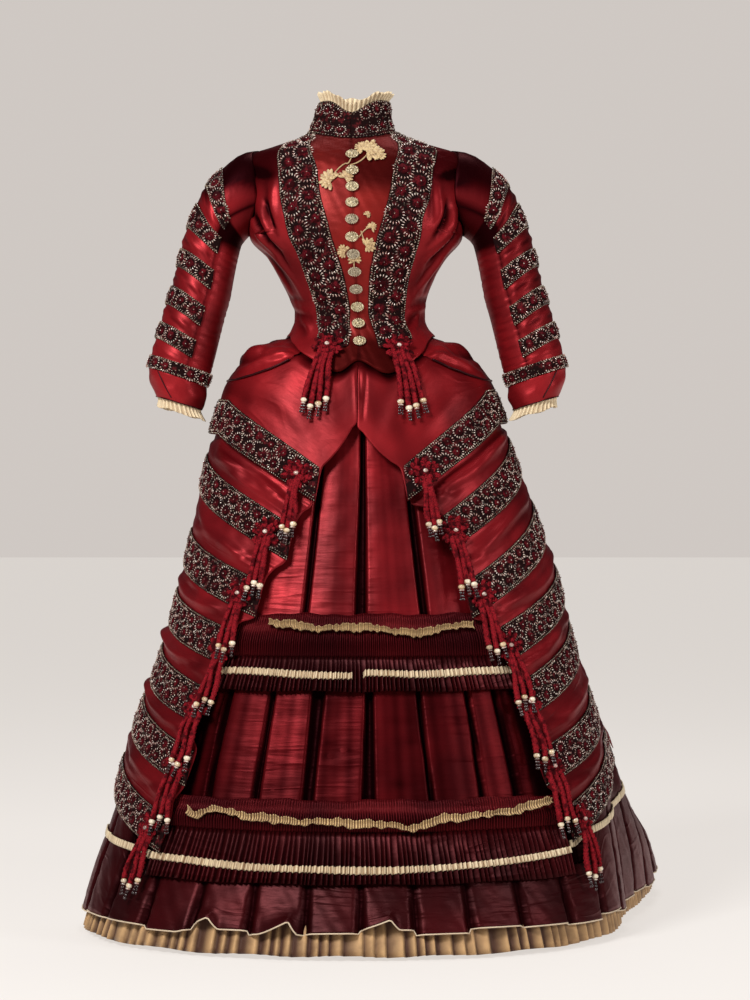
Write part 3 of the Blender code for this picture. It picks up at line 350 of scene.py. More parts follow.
@dataclass
class Patch:
    """Cloth as rows from top to bottom and columns by rising angle."""

    angle: Array
    height: Array
    out: Array
    closed: bool = False
    # Painted shade at each point, 0 to 1, by which the materials darken the colour.
    shade: Array = field(default=None)

    def __post_init__(self) -> None:
        """Bring the arrays to one shape, with the columns by rising angle."""
        self.angle, self.height, self.out = (
            np.array(a, float) for a in np.broadcast_arrays(self.angle, self.height, self.out))
        if self.shade is None:
            self.shade = np.zeros_like(self.out)
        self.shade = np.array(np.broadcast_to(self.shade, self.out.shape), float)
        if self.angle[0, 0] > self.angle[0, -1]:
            for name in ("angle", "height", "out", "shade"):
                setattr(self, name, getattr(self, name)[:, ::-1])

    @property
    def degree(self) -> float:
        """Metres for each degree round the cloth."""
        return math.radians(1) * float(FORM.half_width(self.height.mean()))

    def refined(self, rows: int, columns: int) -> "Patch":
        """The same cloth on a finer grid.

        Args:
            rows: rows of the finer grid.
            columns: its columns.

        Returns:
            A patch that runs smoothly through this one's points.
        """
        made = []
        for values in (self.angle, self.height, self.out, self.shade):
            down = Curve(np.arange(values.shape[0]), values)(np.linspace(0, values.shape[0] - 1, rows))
            across = Curve(np.arange(values.shape[1]), down.T)(np.linspace(0, values.shape[1] - 1, columns))
            made.append(across.T)
        return Patch(made[0], made[1], made[2], self.closed, made[3])

    def folded(self, creases: tuple[Crease, ...], shading: float = 60.0,
               free: float | Array = 1.0) -> "Patch":
        """Add folds, with painted shade in their troughs.

        Args:
            creases: the folds.
            shading: how much painted shade a metre of a trough's depth adds.
            free: share of the folds that each point takes.

        Returns:
            This patch.
        """
        for crease in creases:
            lift = crease.relief(self.angle * self.degree, self.height, self.degree) * free
            self.out += lift
            # The trough takes painted shade.
            self.shade += np.maximum(-lift, 0.0) * shading
        return self

    def rippled(self, size: float, length: float, seed: float, slant: float = 0.3) -> "Patch":
        """Add slight uneven waves.

        Args:
            size: how high they are.
            length: how far apart, in metres.
            seed: shifts them.
            slant: how much they lean.

        Returns:
            This patch.
        """
        x = self.angle * self.degree * 2 * math.pi / length
        y = self.height * 2 * math.pi / length
        wave = np.sin(x + slant * y + seed) * np.sin(0.61 * y - 0.37 * x + 2.1 * seed)
        wave += 0.6 * np.sin(1.73 * y + 0.81 * x + 3.3 * seed) * np.sin(1.31 * x - 0.43 * y + seed)
        self.out += size * wave
        return self

    def points(self, lift: float = 0.0) -> Array:
        """World positions of the cloth's outer face, or of a layer over it."""
        return FORM.on(self.angle, self.height, self.out + lift)


class Nodes:
    """Adds nodes to one tree and joins them."""

    def __init__(self, tree: bpy.types.NodeTree) -> None:
        """Keep the tree."""
        self.tree = tree

    def add(self, kind: str, values: dict | None = None, **settings: object) -> bpy.types.Node:
        """Add a node.

        Args:
            kind: the node's type.
            values: socket values or the sockets that feed them, by input name or index.
            settings: the node's own settings.

        Returns:
            The node.
        """
        node = self.tree.nodes.new(kind)
        for key, value in settings.items():
            setattr(node, key, value)
        for key, value in (values or {}).items():
            self.feed(node.inputs[key], value)
        return node

    def feed(self, socket: bpy.types.NodeSocket, value: object) -> None:
        """Set a socket, or join another to it.

        Args:
            socket: the input.
            value: a socket, a number, a vector, or a colour without its alpha.
        """
        if isinstance(value, bpy.types.NodeSocket):
            self.tree.links.new(value, socket)
        else:
            socket.default_value = (*value, 1.0) if socket.type == "RGBA" else value


class NodeBook(Nodes):
    """Adds nodes to one material and joins them."""

    def __init__(self, name: str) -> None:
        """Start a material.

        Args:
            name: the material's name.
        """
        self.material = bpy.data.materials.new(name)
        self.material.use_nodes = True
        super().__init__(self.material.node_tree)
        self.shader = self.tree.nodes["Principled BSDF"]

    def shade(self, **values: object) -> None:
        """Set the shader's sockets, by name with underscores for spaces."""
        for key, value in values.items():
            self.feed(self.shader.inputs[key.replace("_", " ")], value)

    def uv(self, scale: tuple[float, float]) -> bpy.types.NodeSocket:
        """The piece's own map, which is in metres, scaled."""
        place = self.add("ShaderNodeUVMap", uv_map="cloth").outputs["UV"]
        return self.add("ShaderNodeMapping", {"Vector": place, "Scale": (*scale, 1.0)}).outputs["Vector"]

    def place(self) -> bpy.types.NodeSocket:
        """Object coordinates."""
        return self.add("ShaderNodeTexCoord").outputs["Object"]

    def noise(self, vector: bpy.types.NodeSocket, scale: float, detail: float = 3.0) -> bpy.types.NodeSocket:
        """A noise's value."""
        values = {"Vector": vector, "Scale": scale, "Detail": detail}
        return self.add("ShaderNodeTexNoise", values).outputs["Fac"]

    def spread(self, value: bpy.types.NodeSocket, low: float, high: float, start: float = 0.0,
               end: float = 1.0) -> bpy.types.NodeSocket:
        """Map the stretch from low to high onto start to end."""
        values = {"Value": value, "From Min": low, "From Max": high, "To Min": start, "To Max": end}
        return self.add("ShaderNodeMapRange", values).outputs["Result"]

    def blend(self, share: object, first: object, second: object) -> bpy.types.NodeSocket:
        """Mix two colours.

        Args:
            share: how much of the second.
            first: a colour or a socket.
            second: the same.

        Returns:
            The mixed colour's socket.
        """
        node = self.add("ShaderNodeMix", data_type="RGBA")
        colours = [s for s in node.inputs if s.type == "RGBA"]
        self.feed(node.inputs[0], share)
        self.feed(colours[0], first)
        self.feed(colours[1], second)
        return next(s for s in node.outputs if s.type == "RGBA")

    def creases(self, scale: tuple[float, float]) -> bpy.types.NodeSocket:
        """Thin wandering ridges, 1 on their crests, which fade out in places.

        Args:
            scale: wanderings for each metre along and down.

        Returns:
            The ridges' socket.
        """
        wander = self.noise(self.uv(scale), 1.0, 1.5)
        centred = self.add("ShaderNodeMath", {0: wander, 1: 0.5}, operation="SUBTRACT")
        apart = self.add("ShaderNodeMath", {0: centred.outputs[0]}, operation="ABSOLUTE")
        crest = self.spread(apart.outputs[0], 0.055, 0.0)
        patches = self.spread(self.noise(self.uv((7.0, 7.0)), 1.0, 1.0), 0.40, 0.62)
        return self.add("ShaderNodeMath", {0: crest, 1: patches}, operation="MULTIPLY").outputs[0]

    def bump(self, height: bpy.types.NodeSocket, depth: float,
             under: bpy.types.NodeSocket | None = None) -> bpy.types.NodeSocket:
        """A bump.

        Args:
            height: the relief.
            depth: of it, in metres.
            under: another bump that this one lies over.

        Returns:
            The bumped direction's socket.
        """
        values = {"Height": height, "Distance": depth, "Strength": 1.0}
        if under is not None:
            values["Normal"] = under
        return self.add("ShaderNodeBump", values).outputs["Normal"]

    def attribute(self, name: str) -> bpy.types.NodeSocket:
        """A value stored on the piece's points."""
        return self.add("ShaderNodeAttribute", attribute_name=name).outputs["Fac"]


@dataclass(frozen=True)
class Satin:
    """Silk satin: threads, slubs across them, fine crumpling, and painted shade in folds and other shaded
    places.

    Attributes:
        name: the material's name.
        light: the paler red of broad random patches, partly uneven tone and partly painted sheen where light
            catches the weft.
        deep: the warp's colour, the darker red between those patches and in the slubs.
        pressed: the painted shade's colour, inside folds and in other shaded places.
        roughness: of the surface.
        crumple: depth of the fine crumpling, in metres.
        crumple_scale: crumples for each metre along and down.
        sheen: weight of the soft sheen.
    """

    name: str
    light: Colour
    deep: Colour
    pressed: Colour
    roughness: float = 0.40
    crumple: float = 0.0013
    crumple_scale: tuple[float, float] = (13.0, 24.0)
    sheen: float = 0.02

    def build(self) -> bpy.types.Material:
        """Make the material.

        Returns:
            The material.
        """
        book = NodeBook(self.name)
        broad = book.noise(book.place(), 9.0, 2.0)
        slub = book.noise(book.uv((60.0, 1400.0)), 1.0, 2.0)
        thread = book.noise(book.uv((2600.0, 2600.0)), 1.0, 1.0)
        crumple = book.noise(book.uv(self.crumple_scale), 1.0, 3.0)
        line = book.creases((self.crumple_scale[0] * 0.55, self.crumple_scale[1] * 0.8))
        # Broad random patches from the darker to the paler red: partly uneven tone, partly painted sheen.
        tone = book.blend(book.spread(broad, 0.35, 0.68), self.deep, self.light)
        tone = book.blend(book.spread(slub, 0.45, 0.75, 0.0, 0.35), tone, self.deep)
        # Painted shade: the points' shade value darkens the colour.
        tone = book.blend(book.spread(book.attribute("shade"), 0.0, 1.0), tone, self.pressed)
        relief = book.bump(crumple, self.crumple)
        relief = book.bump(line, 0.30 * self.crumple, relief)
        relief = book.bump(slub, 0.00008, relief)
        relief = book.bump(thread, 0.00004, relief)
        gloss = book.spread(slub, 0.3, 0.8, self.roughness - 0.05, self.roughness + 0.09)
        # The painted shade also dulls the gloss.
        level = book.spread(book.attribute("shade"), 0.0, 0.9, 0.30, 0.02)
        book.shade(Base_Color=tone, Roughness=gloss, Normal=relief, Metallic=0.42, Specular_IOR_Level=level,
                   Specular_Tint=(1.0, 0.58, 0.58), Sheen_Weight=self.sheen, Sheen_Roughness=0.4,
                   Sheen_Tint=(0.8, 0.08, 0.10))
        return book.material


@dataclass(frozen=True)
class PleatedSilk:
    """Cream, gold or tan ribbon and ruffle cloth with random stains, painted darker and yellower in the shade
    of its pleats.
    """

    name: str
    light: Colour
    # The stains' colour, which is also the painted shade's colour.
    deep: Colour
    roughness: float = 0.5
    stain: float = 0.35
    scale: float = 38.0

    def build(self) -> bpy.types.Material:
        """Make the material.

        Returns:
            The material.
        """
        book = NodeBook(self.name)
        stain = book.noise(book.place(), self.scale, 4.0)
        thread = book.noise(book.uv((900.0, 2200.0)), 1.0, 1.0)
        crinkle = book.noise(book.uv((420.0, 60.0)), 1.0, 2.0)
        tone = book.blend(book.spread(stain, 0.42, 0.75, 0.0, self.stain), self.light, self.deep)
        # Painted shade: the points' shade value darkens the colour towards deep.
        tone = book.blend(book.spread(book.attribute("shade"), 0.0, 1.0), tone, self.deep)
        relief = book.bump(crinkle, 0.0004)
        relief = book.bump(thread, 0.00006, relief)
        book.shade(Base_Color=tone, Roughness=self.roughness, Normal=relief, Sheen_Weight=0.1,
                   Specular_IOR_Level=0.4)
        return book.material


@dataclass(frozen=True)
class Chenille:
    """A furry, tufted ground: dark with flecks of a brighter silk."""

    name: str
    dark: Colour
    fleck: Colour
    fleck_from: float = 0.5
    tuft: float = 0.0010
    scale: float = 420.0

    def build(self) -> bpy.types.Material:
        """Make the material.

        Returns:
            The material.
        """
        book = NodeBook(self.name)
        tufts = book.noise(book.place(), self.scale, 2.0)
        patches = book.noise(book.place(), 110.0, 2.0)
        tone = book.blend(book.spread(patches, self.fleck_from, self.fleck_from + 0.14), self.dark,
                          self.fleck)
        tone = book.blend(book.spread(tufts, 0.55, 0.35), tone, self.dark)
        book.shade(Base_Color=tone, Roughness=0.82, Normal=book.bump(tufts, self.tuft), Sheen_Weight=0.05,
                   Sheen_Roughness=0.4, Sheen_Tint=(0.6, 0.06, 0.08), Specular_IOR_Level=0.06)
        return book.material


@dataclass(frozen=True)
class Glass:
    """Small glass beads, from one tone to another, some of them dull."""

    name: str
    pale: Colour
    tinted: Colour
    dull: Colour
    scale: float = 260.0
    roughness: float = 0.12

    def build(self) -> bpy.types.Material:
        """Make the material.

        Returns:
            The material.
        """
        book = NodeBook(self.name)
        some = book.noise(book.place(), self.scale, 0.0)
        wide = book.noise(book.place(), 45.0, 1.0)
        tone = book.blend(book.spread(some, 0.42, 0.60), self.pale, self.tinted)
        tone = book.blend(book.spread(wide, 0.50, 0.66, 0.0, 0.8), tone, self.dull)
        book.shade(Base_Color=tone, Roughness=self.roughness, Coat_Weight=0.6, Coat_Roughness=0.05,
                   Specular_IOR_Level=0.7)
        return book.material


@dataclass(frozen=True)
class Metal:
    """Old brass or gilt thread, darker in random patches of tarnish."""

    name: str
    bright: Colour
    tarnish: Colour
    metallic: float = 0.75
    roughness: float = 0.36

    def build(self) -> bpy.types.Material:
        """Make the material.

        Returns:
            The material.
        """
        book = NodeBook(self.name)
        cloud = book.noise(book.place(), 300.0, 3.0)
        tone = book.blend(book.spread(cloud, 0.4, 0.7), self.bright, self.tarnish)
        book.shade(Base_Color=tone, Roughness=self.roughness, Metallic=self.metallic,
                   Normal=book.bump(cloud, 0.0002), Specular_IOR_Level=0.5)
        return book.material


class Slot(Enum):
    """Material slots for the finishes."""

    SATIN = "satin_red"
    VEST = "vest_satin"
    BAND = "trim_band"
    CHENILLE = "chenille_red"
    CREAM = "cream_silk"
    GOLD = "gold_silk"
    TAN = "tan_cotton"
    BUTTON = "button_metal"


@dataclass(frozen=True)
class Finish:
    """A material and the slot that it belongs to."""

    look: Satin | PleatedSilk | Chenille | Glass | Metal
    slot: Slot


class Finishes(Enum):
    """Every finish on the dress."""

    SATIN = Finish(Satin("red satin", (0.31, 0.011, 0.015), (0.13, 0.003, 0.005), (0.010, 0.0004, 0.001)),
                   Slot.SATIN)
    # SKIRT_SATIN, HEM_SATIN and SHIRRED_SATIN are darker copies of the red satin: their darkness is painted
    # shade for the skirts, the flounces and the hem.
    SKIRT_SATIN = Finish(Satin("skirt satin", (0.25, 0.008, 0.012), (0.10, 0.002, 0.004),
                               (0.007, 0.0004, 0.0008), crumple=0.0019, crumple_scale=(5.5, 44.0)),
                         Slot.SATIN)
    HEM_SATIN = Finish(Satin("hem satin", (0.060, 0.002, 0.0035), (0.024, 0.0008, 0.0015),
                             (0.006, 0.0004, 0.0008), crumple=0.0016, crumple_scale=(12.0, 30.0)), Slot.SATIN)
    SHIRRED_SATIN = Finish(Satin("shirred satin", (0.165, 0.006, 0.009), (0.065, 0.0015, 0.004),
                                 (0.006, 0.0004, 0.0008), crumple=0.0008, crumple_scale=(120.0, 14.0)),
                           Slot.SATIN)
    VEST = Finish(Satin("vest satin", (0.27, 0.014, 0.010), (0.12, 0.005, 0.004), (0.03, 0.002, 0.002),
                        crumple=0.0009), Slot.VEST)
    GROUND = Finish(Chenille("trim ground", (0.008, 0.002, 0.002), (0.085, 0.008, 0.010)), Slot.BAND)
    CENTRE = Finish(Chenille("chenille centre", (0.022, 0.001, 0.002), (0.105, 0.005, 0.009),
                             fleck_from=0.42), Slot.CHENILLE)
    CORD = Finish(Chenille("chenille cord", (0.060, 0.002, 0.004), (0.27, 0.010, 0.016), fleck_from=0.36,
                           tuft=0.0006, scale=700.0), Slot.CHENILLE)
    PIPING = Finish(Satin("dark piping", (0.035, 0.003, 0.005), (0.015, 0.002, 0.003), (0.008, 0.001, 0.001),
                          crumple=0.0002), Slot.SATIN)
    BEADS = Finish(Glass("pale beads", (0.70, 0.58, 0.50), (0.42, 0.22, 0.18), (0.09, 0.05, 0.04)), Slot.BAND)
    EDGE_BEADS = Finish(Glass("edge beads", (0.38, 0.30, 0.22), (0.19, 0.13, 0.09), (0.035, 0.022, 0.016)),
                        Slot.BAND)
    BLOSSOM = Finish(PleatedSilk("blossom silk", (0.56, 0.40, 0.20), (0.20, 0.09, 0.035), 0.45, 1.0, 220.0),
                     Slot.GOLD)
    BARREL = Finish(Glass("barrel beads", (0.84, 0.72, 0.54), (0.66, 0.48, 0.28), (0.34, 0.20, 0.10),
                          scale=60.0, roughness=0.25), Slot.CREAM)
    TAILS = Finish(Glass("bugle tails", (0.014, 0.004, 0.005), (0.035, 0.008, 0.010), (0.070, 0.032, 0.028)),
                   Slot.BAND)
    CREAM = Finish(PleatedSilk("cream silk", (0.84, 0.68, 0.44), (0.20, 0.09, 0.035)), Slot.CREAM)
    GOLD = Finish(PleatedSilk("gold silk", (0.76, 0.52, 0.24), (0.095, 0.032, 0.008)), Slot.GOLD)
    EMBROIDERY = Finish(PleatedSilk("gold embroidery", (0.50, 0.34, 0.17), (0.20, 0.09, 0.035),
                                    roughness=0.38, stain=0.9), Slot.GOLD)
    PIPE = Finish(PleatedSilk("cream piping", (0.66, 0.52, 0.36), (0.40, 0.24, 0.14), stain=0.3), Slot.CREAM)
    TAN = Finish(PleatedSilk("tan cotton", (0.59, 0.35, 0.155), (0.060, 0.018, 0.006), roughness=0.66,
                             stain=0.55), Slot.TAN)
    LOOPS = Finish(Chenille("rosette silk", (0.030, 0.001, 0.002), (0.24, 0.008, 0.014), fleck_from=0.40,
                            tuft=0.0012, scale=500.0), Slot.CHENILLE)
    PEARL = Finish(Metal("ivory buttons", (0.50, 0.42, 0.29), (0.16, 0.11, 0.06), 0.15, 0.30), Slot.BUTTON)
    BRASS = Finish(Metal("brass filigree", (0.74, 0.64, 0.44), (0.30, 0.22, 0.11)), Slot.BUTTON)

    @property
    def material(self) -> bpy.types.Material:
        """The finish's material, made once."""
        look = self.value.look
        return bpy.data.materials.get(look.name) or look.build()


class Workshop:
    """Turns grids of points into pieces and attaches them to the body."""

    # A sheet's area is stated as at least this share of its flat width times its length.
    LEAST_SHARE = 0.3

    @staticmethod
    def mesh_object(name: str, points: Array, quads: Array, uv: Array | None,
                    shade: Array | None) -> bpy.types.Object:
        """Make an object from quads.

        Args:
            name: the piece's name.
            points: positions.
            quads: four point numbers for each face; a triangle repeats its last one.
            uv: places on the cloth in metres, a pair for each corner.
            shade: the painted shade, a value for each point.

        Returns:
            The object, shaded smooth.
        """
        quads = np.asarray(quads, int)
        real = np.ones(quads.shape, bool)
        real[:, 3] = quads[:, 3] != quads[:, 2]
        starts = np.concatenate([[0], real.sum(axis=1).cumsum()[:-1]])
        mesh = bpy.data.meshes.new(name)
        mesh.vertices.add(len(points))
        mesh.vertices.foreach_set("co", np.asarray(points, np.float32).ravel())
        mesh.loops.add(int(real.sum()))
        mesh.loops.foreach_set("vertex_index", quads[real].astype(np.int32))
        mesh.polygons.add(len(quads))
        mesh.polygons.foreach_set("loop_start", starts.astype(np.int32))
        mesh.update(calc_edges=True)
        if uv is not None:
            mesh.uv_layers.new(name="cloth").data.foreach_set("uv", np.asarray(uv, np.float32)[real].ravel())
        if shade is not None:
            mesh.attributes.new("shade", "FLOAT", "POINT").data.foreach_set(
                "value", np.clip(shade, 0, 1).astype(np.float32).ravel())
        mesh.validate()
        mesh.shade_smooth()
        return Workshop.placed(name, mesh)

    @staticmethod
    def placed(name: str, mesh: bpy.types.Mesh) -> bpy.types.Object:
        """Make an object of a mesh.

        Args:
            name: the piece's name, which gets an ending where a node has it.
            mesh: its mesh.

        Returns:
            The object.
        """
        made = bpy.data.objects.new(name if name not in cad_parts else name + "_made", mesh)
        bpy.context.scene.collection.objects.link(made)
        return made

    @staticmethod
    def finish(piece: bpy.types.Object, finish: Finishes, node: str) -> bpy.types.Object:
        """Give a piece its material, and let it ride on the dress.

        Args:
            piece: the object.
            finish: what it is made of.
            node: the solid that it stands for, where there is one of this name.

        Returns:
            The piece.
        """
        piece.data.materials.clear()
        piece.data.materials.append(finish.material)
        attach(piece, BODY)
        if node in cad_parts:
            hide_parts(node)
        return piece

    @classmethod
    def shell(cls, name: str, outer: Array, inner: Array, shade: Array, closed: bool,
              finish: Finishes, skip: tuple[int, int] = (2, 1), node: str = "") -> bpy.types.Object:
        """A closed shell between two grids of points.

        Args:
            name: the piece's name.
            outer: rows by columns by three.
            inner: the same for the inside.
            shade: rows by columns, how much painted shade each point takes.
            closed: whether the last column joins the first.
            finish: what it is made of.
            skip: the inside keeps each such row and column.
            node: the solid that it stands for, where its name is another one.

        Returns:
            The piece.
        """
        rows, columns = outer.shape[:2]
        last = columns if closed else columns - 1
        count = rows * columns
        in_rows = np.unique(np.append(np.arange(0, rows, skip[0]), rows - 1))
        in_columns = np.unique(np.append(np.arange(0, last, skip[1]), last))
        width = len(in_columns) - closed
        near_row = np.abs(in_rows[:, None] - np.arange(rows)).argmin(axis=0)
        near = np.abs(in_columns[:, None] - np.arange(last + 1)).argmin(axis=0)

        def corners(r: Array, c: Array, inside: int) -> tuple[Array, Array]:
            """One corner of each face.

            Args:
                r: its rows.
                c: its columns.
                inside: 1 on the lining and 0 on the outer face.

            Returns:
                Point numbers and places on the cloth.
            """
            if inside:
                uv = np.stack([across[in_rows[r], in_columns[c]], down[in_rows[r]]], axis=-1)
                return count + r * width + c % width, uv
            return r * columns + c % columns, np.stack([across[r, c], down[r]], axis=-1)

        steps = steps_along(np.concatenate([outer, outer[:, :1]], axis=1), 1)
        across = np.concatenate([np.zeros((rows, 1)), steps.cumsum(axis=1)], axis=1)
        across -= across[:, last:last + 1] / 2
        down = -np.concatenate([[0.0], steps_along(outer, 0).mean(axis=1).cumsum()])
        r, c = cells(rows - 1, last)
        faces = [[(r, c, 0), (r + 1, c, 0), (r + 1, c + 1, 0), (r, c + 1, 0)]]
        r, c = cells(len(in_rows) - 1, len(in_columns) - 1)
        faces.append([(r, c, 1), (r, c + 1, 1), (r + 1, c + 1, 1), (r + 1, c, 1)])
        k = np.arange(last)
        top, bottom = np.zeros_like(k), np.full_like(k, rows - 1)
        foot = np.full_like(k, len(in_rows) - 1)
        faces.append([(top, k, 0), (top, k + 1, 0), (top, near[k + 1], 1), (top, near[k], 1)])
        faces.append([(bottom, k + 1, 0), (bottom, k, 0), (foot, near[k], 1), (foot, near[k + 1], 1)])
        if not closed:
            k = np.arange(rows - 1)
            start, end = np.zeros_like(k), np.full_like(k, columns - 1)
            edge = np.full_like(k, width - 1)
            here, after = near_row[k], near_row[k + 1]
            faces.append([(k + 1, start, 0), (k, start, 0), (here, start, 1), (after, start, 1)])
            faces.append([(k, end, 0), (k + 1, end, 0), (after, edge, 1), (here, edge, 1)])
        quads, uv = [], []
        for group in faces:
            sides = [corners(*corner) for corner in group]
            quads.append(np.stack([s[0] for s in sides], axis=-1))
            uv.append(np.stack([s[1] for s in sides], axis=1))
        inside = np.ix_(in_rows, in_columns[:width])
        points = np.concatenate([outer.reshape(-1, 3), inner[inside].reshape(-1, 3)])
        shades = np.concatenate([shade.ravel(), shade[inside].ravel()])
        piece = cls.mesh_object(name, points, np.concatenate(quads), np.concatenate(uv), shades)
        return cls.finish(piece, finish, node or name)

    @classmethod
    def cloth(cls, name: str, patch: Patch, finish: Finishes, held: Held, rests_on: tuple[str, ...] = (),
              thickness: float = 0.0012, with_pieces: tuple[bpy.types.Object, ...] = ()) -> None:
        """A piece of cloth on the form.

        Args:
            name: the piece's name.
            patch: where it lies.
            finish: what it is made of.
            held: how it is held.
            rests_on: the pieces or nodes that carry it; not used.
            thickness: of the cloth.
            with_pieces: separate pieces on it; not used.
        """
        outer, inner = patch.points(), patch.points(-thickness)
        skip = {Held.STRETCHED: (2, 2), Held.DRAPED: (2, 1)}.get(held, (3, 1))
        piece = cls.shell(name, outer, inner, patch.shade, patch.closed, finish, skip)
        cls.declare(piece, outer, patch.closed, held, rests_on, with_pieces)

    @classmethod
    def declare(cls, piece: bpy.types.Object, outer: Array, closed: bool, held: Held,
                rests_on: tuple[str, ...], with_pieces: tuple[bpy.types.Object, ...] = ()) -> None:
        """Does nothing with a sheet's details.

        Args:
            piece: the cloth; not used.
            outer: its outer points; not used.
            closed: whether it goes all round; not used.
            held: how it is held; not used.
            rests_on: what carries it; not used.
            with_pieces: separate pieces on it; not used.
        """


class ScatterTree(Nodes):
    """A Geometry Nodes tree that sews one small oval shape on every point of a mesh.

    The points carry two directions, along and facing, and a size for each axis of the shape.
    """

    SIZES = {"Segments": ("NodeSocketInt", 6), "Rings": ("NodeSocketInt", 2),
             "Unevenness": ("NodeSocketFloat", 0.1), "Seed": ("NodeSocketInt", 7)}

    def __init__(self) -> None:
        """Build the tree once."""
        tree = bpy.data.node_groups.new("sewn beads", "GeometryNodeTree")
        super().__init__(tree)
        face = tree.interface
        face.new_socket("Points", in_out="INPUT", socket_type="NodeSocketGeometry")
        for name, (kind, default) in self.SIZES.items():
            face.new_socket(name, in_out="INPUT", socket_type=kind).default_value = default
        face.new_socket("Material", in_out="INPUT", socket_type="NodeSocketMaterial")
        face.new_socket("Geometry", in_out="OUTPUT", socket_type="NodeSocketGeometry")
        start = tree.nodes.new("NodeGroupInput").outputs
        end = tree.nodes.new("NodeGroupOutput").inputs
        dots = self.add("GeometryNodeMeshToPoints", {"Mesh": start["Points"]})
        bead = self.add("GeometryNodeMeshUVSphere", {"Segments": start["Segments"], "Rings": start["Rings"],
                                                     "Radius": 1.0})
        turn = self.add("FunctionNodeAxesToRotation", {"Primary Axis": self.read("along"),
                                                       "Secondary Axis": self.read("facing")},
                        primary_axis="Z", secondary_axis="X")
        chance = self.add("FunctionNodeRandomValue", {"Seed": start["Seed"]}, data_type="FLOAT")
        spare = self.add("ShaderNodeMath", {0: start["Unevenness"], 1: -1.0}, operation="MULTIPLY")
        tree.links.new(spare.outputs[0], chance.inputs[2])
        tree.links.new(start["Unevenness"], chance.inputs[3])
        grown = self.add("ShaderNodeMath", {0: chance.outputs[1], 1: 1.0}, operation="ADD")
        size = self.add("ShaderNodeVectorMath", {0: self.read("size")}, operation="SCALE")
        tree.links.new(grown.outputs[0], size.inputs["Scale"])
        sewn = self.add("GeometryNodeInstanceOnPoints", {
            "Points": dots.outputs["Points"], "Instance": bead.outputs["Mesh"],
            "Rotation": turn.outputs["Rotation"], "Scale": size.outputs["Vector"]})
        real = self.add("GeometryNodeRealizeInstances", {"Geometry": sewn.outputs["Instances"]})
        smooth = self.add("GeometryNodeSetShadeSmooth", {"Geometry": real.outputs["Geometry"]})
        dressed = self.add("GeometryNodeSetMaterial", {"Geometry": smooth.outputs["Geometry"],
                                                       "Material": start["Material"]})
        tree.links.new(dressed.outputs["Geometry"], end["Geometry"])

    def read(self, name: str) -> bpy.types.NodeSocket:
        """A direction or size stored on the points."""
        kept = self.add("GeometryNodeInputNamedAttribute", {"Name": name}, data_type="FLOAT_VECTOR")
        return kept.outputs[0]

    def sew(self, name: str, dots: "Dots", finish: Finishes, segments: int = 6, rings: int = 2,
            unevenness: float = 0.12, seed: int = 7) -> bpy.types.Object:
        """Sew a shape on each dot and make one piece of them.

        Args:
            name: the piece's name.
            dots: where, which way and how large.
            finish: what they are made of.
            segments: sides of each shape.
            rings: its rings.
            unevenness: how much their sizes differ.
            seed: of the uneven sizes.

        Returns:
            The piece, a plain mesh.
        """
        mesh = bpy.data.meshes.new(name + "_dots")
        places, along, facing, size = dots.joined()
        mesh.from_pydata(places.tolist(), [], [])
        for key, values in (("along", along), ("facing", facing), ("size", size)):
            mesh.attributes.new(key, "FLOAT_VECTOR", "POINT").data.foreach_set(
                "vector", values.astype(np.float32).ravel())
        holder = bpy.data.objects.new(name + "_dots", mesh)
        bpy.context.scene.collection.objects.link(holder)
        live = holder.modifiers.new("sewn", "NODES")
        live.node_group = self.tree
        wanted = {"Segments": segments, "Rings": rings, "Unevenness": unevenness, "Seed": seed,
                  "Material": finish.material}
        for item in self.tree.interface.items_tree:
            if item.in_out == "INPUT" and item.name in wanted:
                live[item.identifier] = wanted[item.name]
        seen = holder.evaluated_get(bpy.context.evaluated_depsgraph_get())
        made = bpy.data.meshes.new_from_object(seen)
        made.name = name
        holder.modifiers.remove(live)
        bpy.data.objects.remove(holder)
        bpy.data.meshes.remove(mesh)
        LOG.info("%s: %d sewn on", name, len(places))
        return Workshop.finish(Workshop.placed(name, made), finish, name)


class Dots:
    """Places for small sewn shapes, with their directions and sizes."""

    def __init__(self) -> None:
        """Start with none."""
        self.rows: list[tuple[Array, ...]] = []

    def put(self, place: Array, along: Array, facing: Array, size: tuple | Array) -> None:
        """Add shapes.

        Args:
            place: their middles.
            along: the long axis of each.
            facing: which way each faces.
            size: half the thickness, half the width and half the length of each.
        """
        place = np.asarray(place, float).reshape(-1, 3)
        row = [place]
        for values in (along, facing, size):
            row.append(np.broadcast_to(np.asarray(values, float), place.shape))
        self.rows.append(tuple(row))

    def joined(self) -> tuple[Array, ...]:
        """All places, long axes, facings and sizes."""
        return tuple(np.concatenate([row[k] for row in self.rows]) for k in range(4))


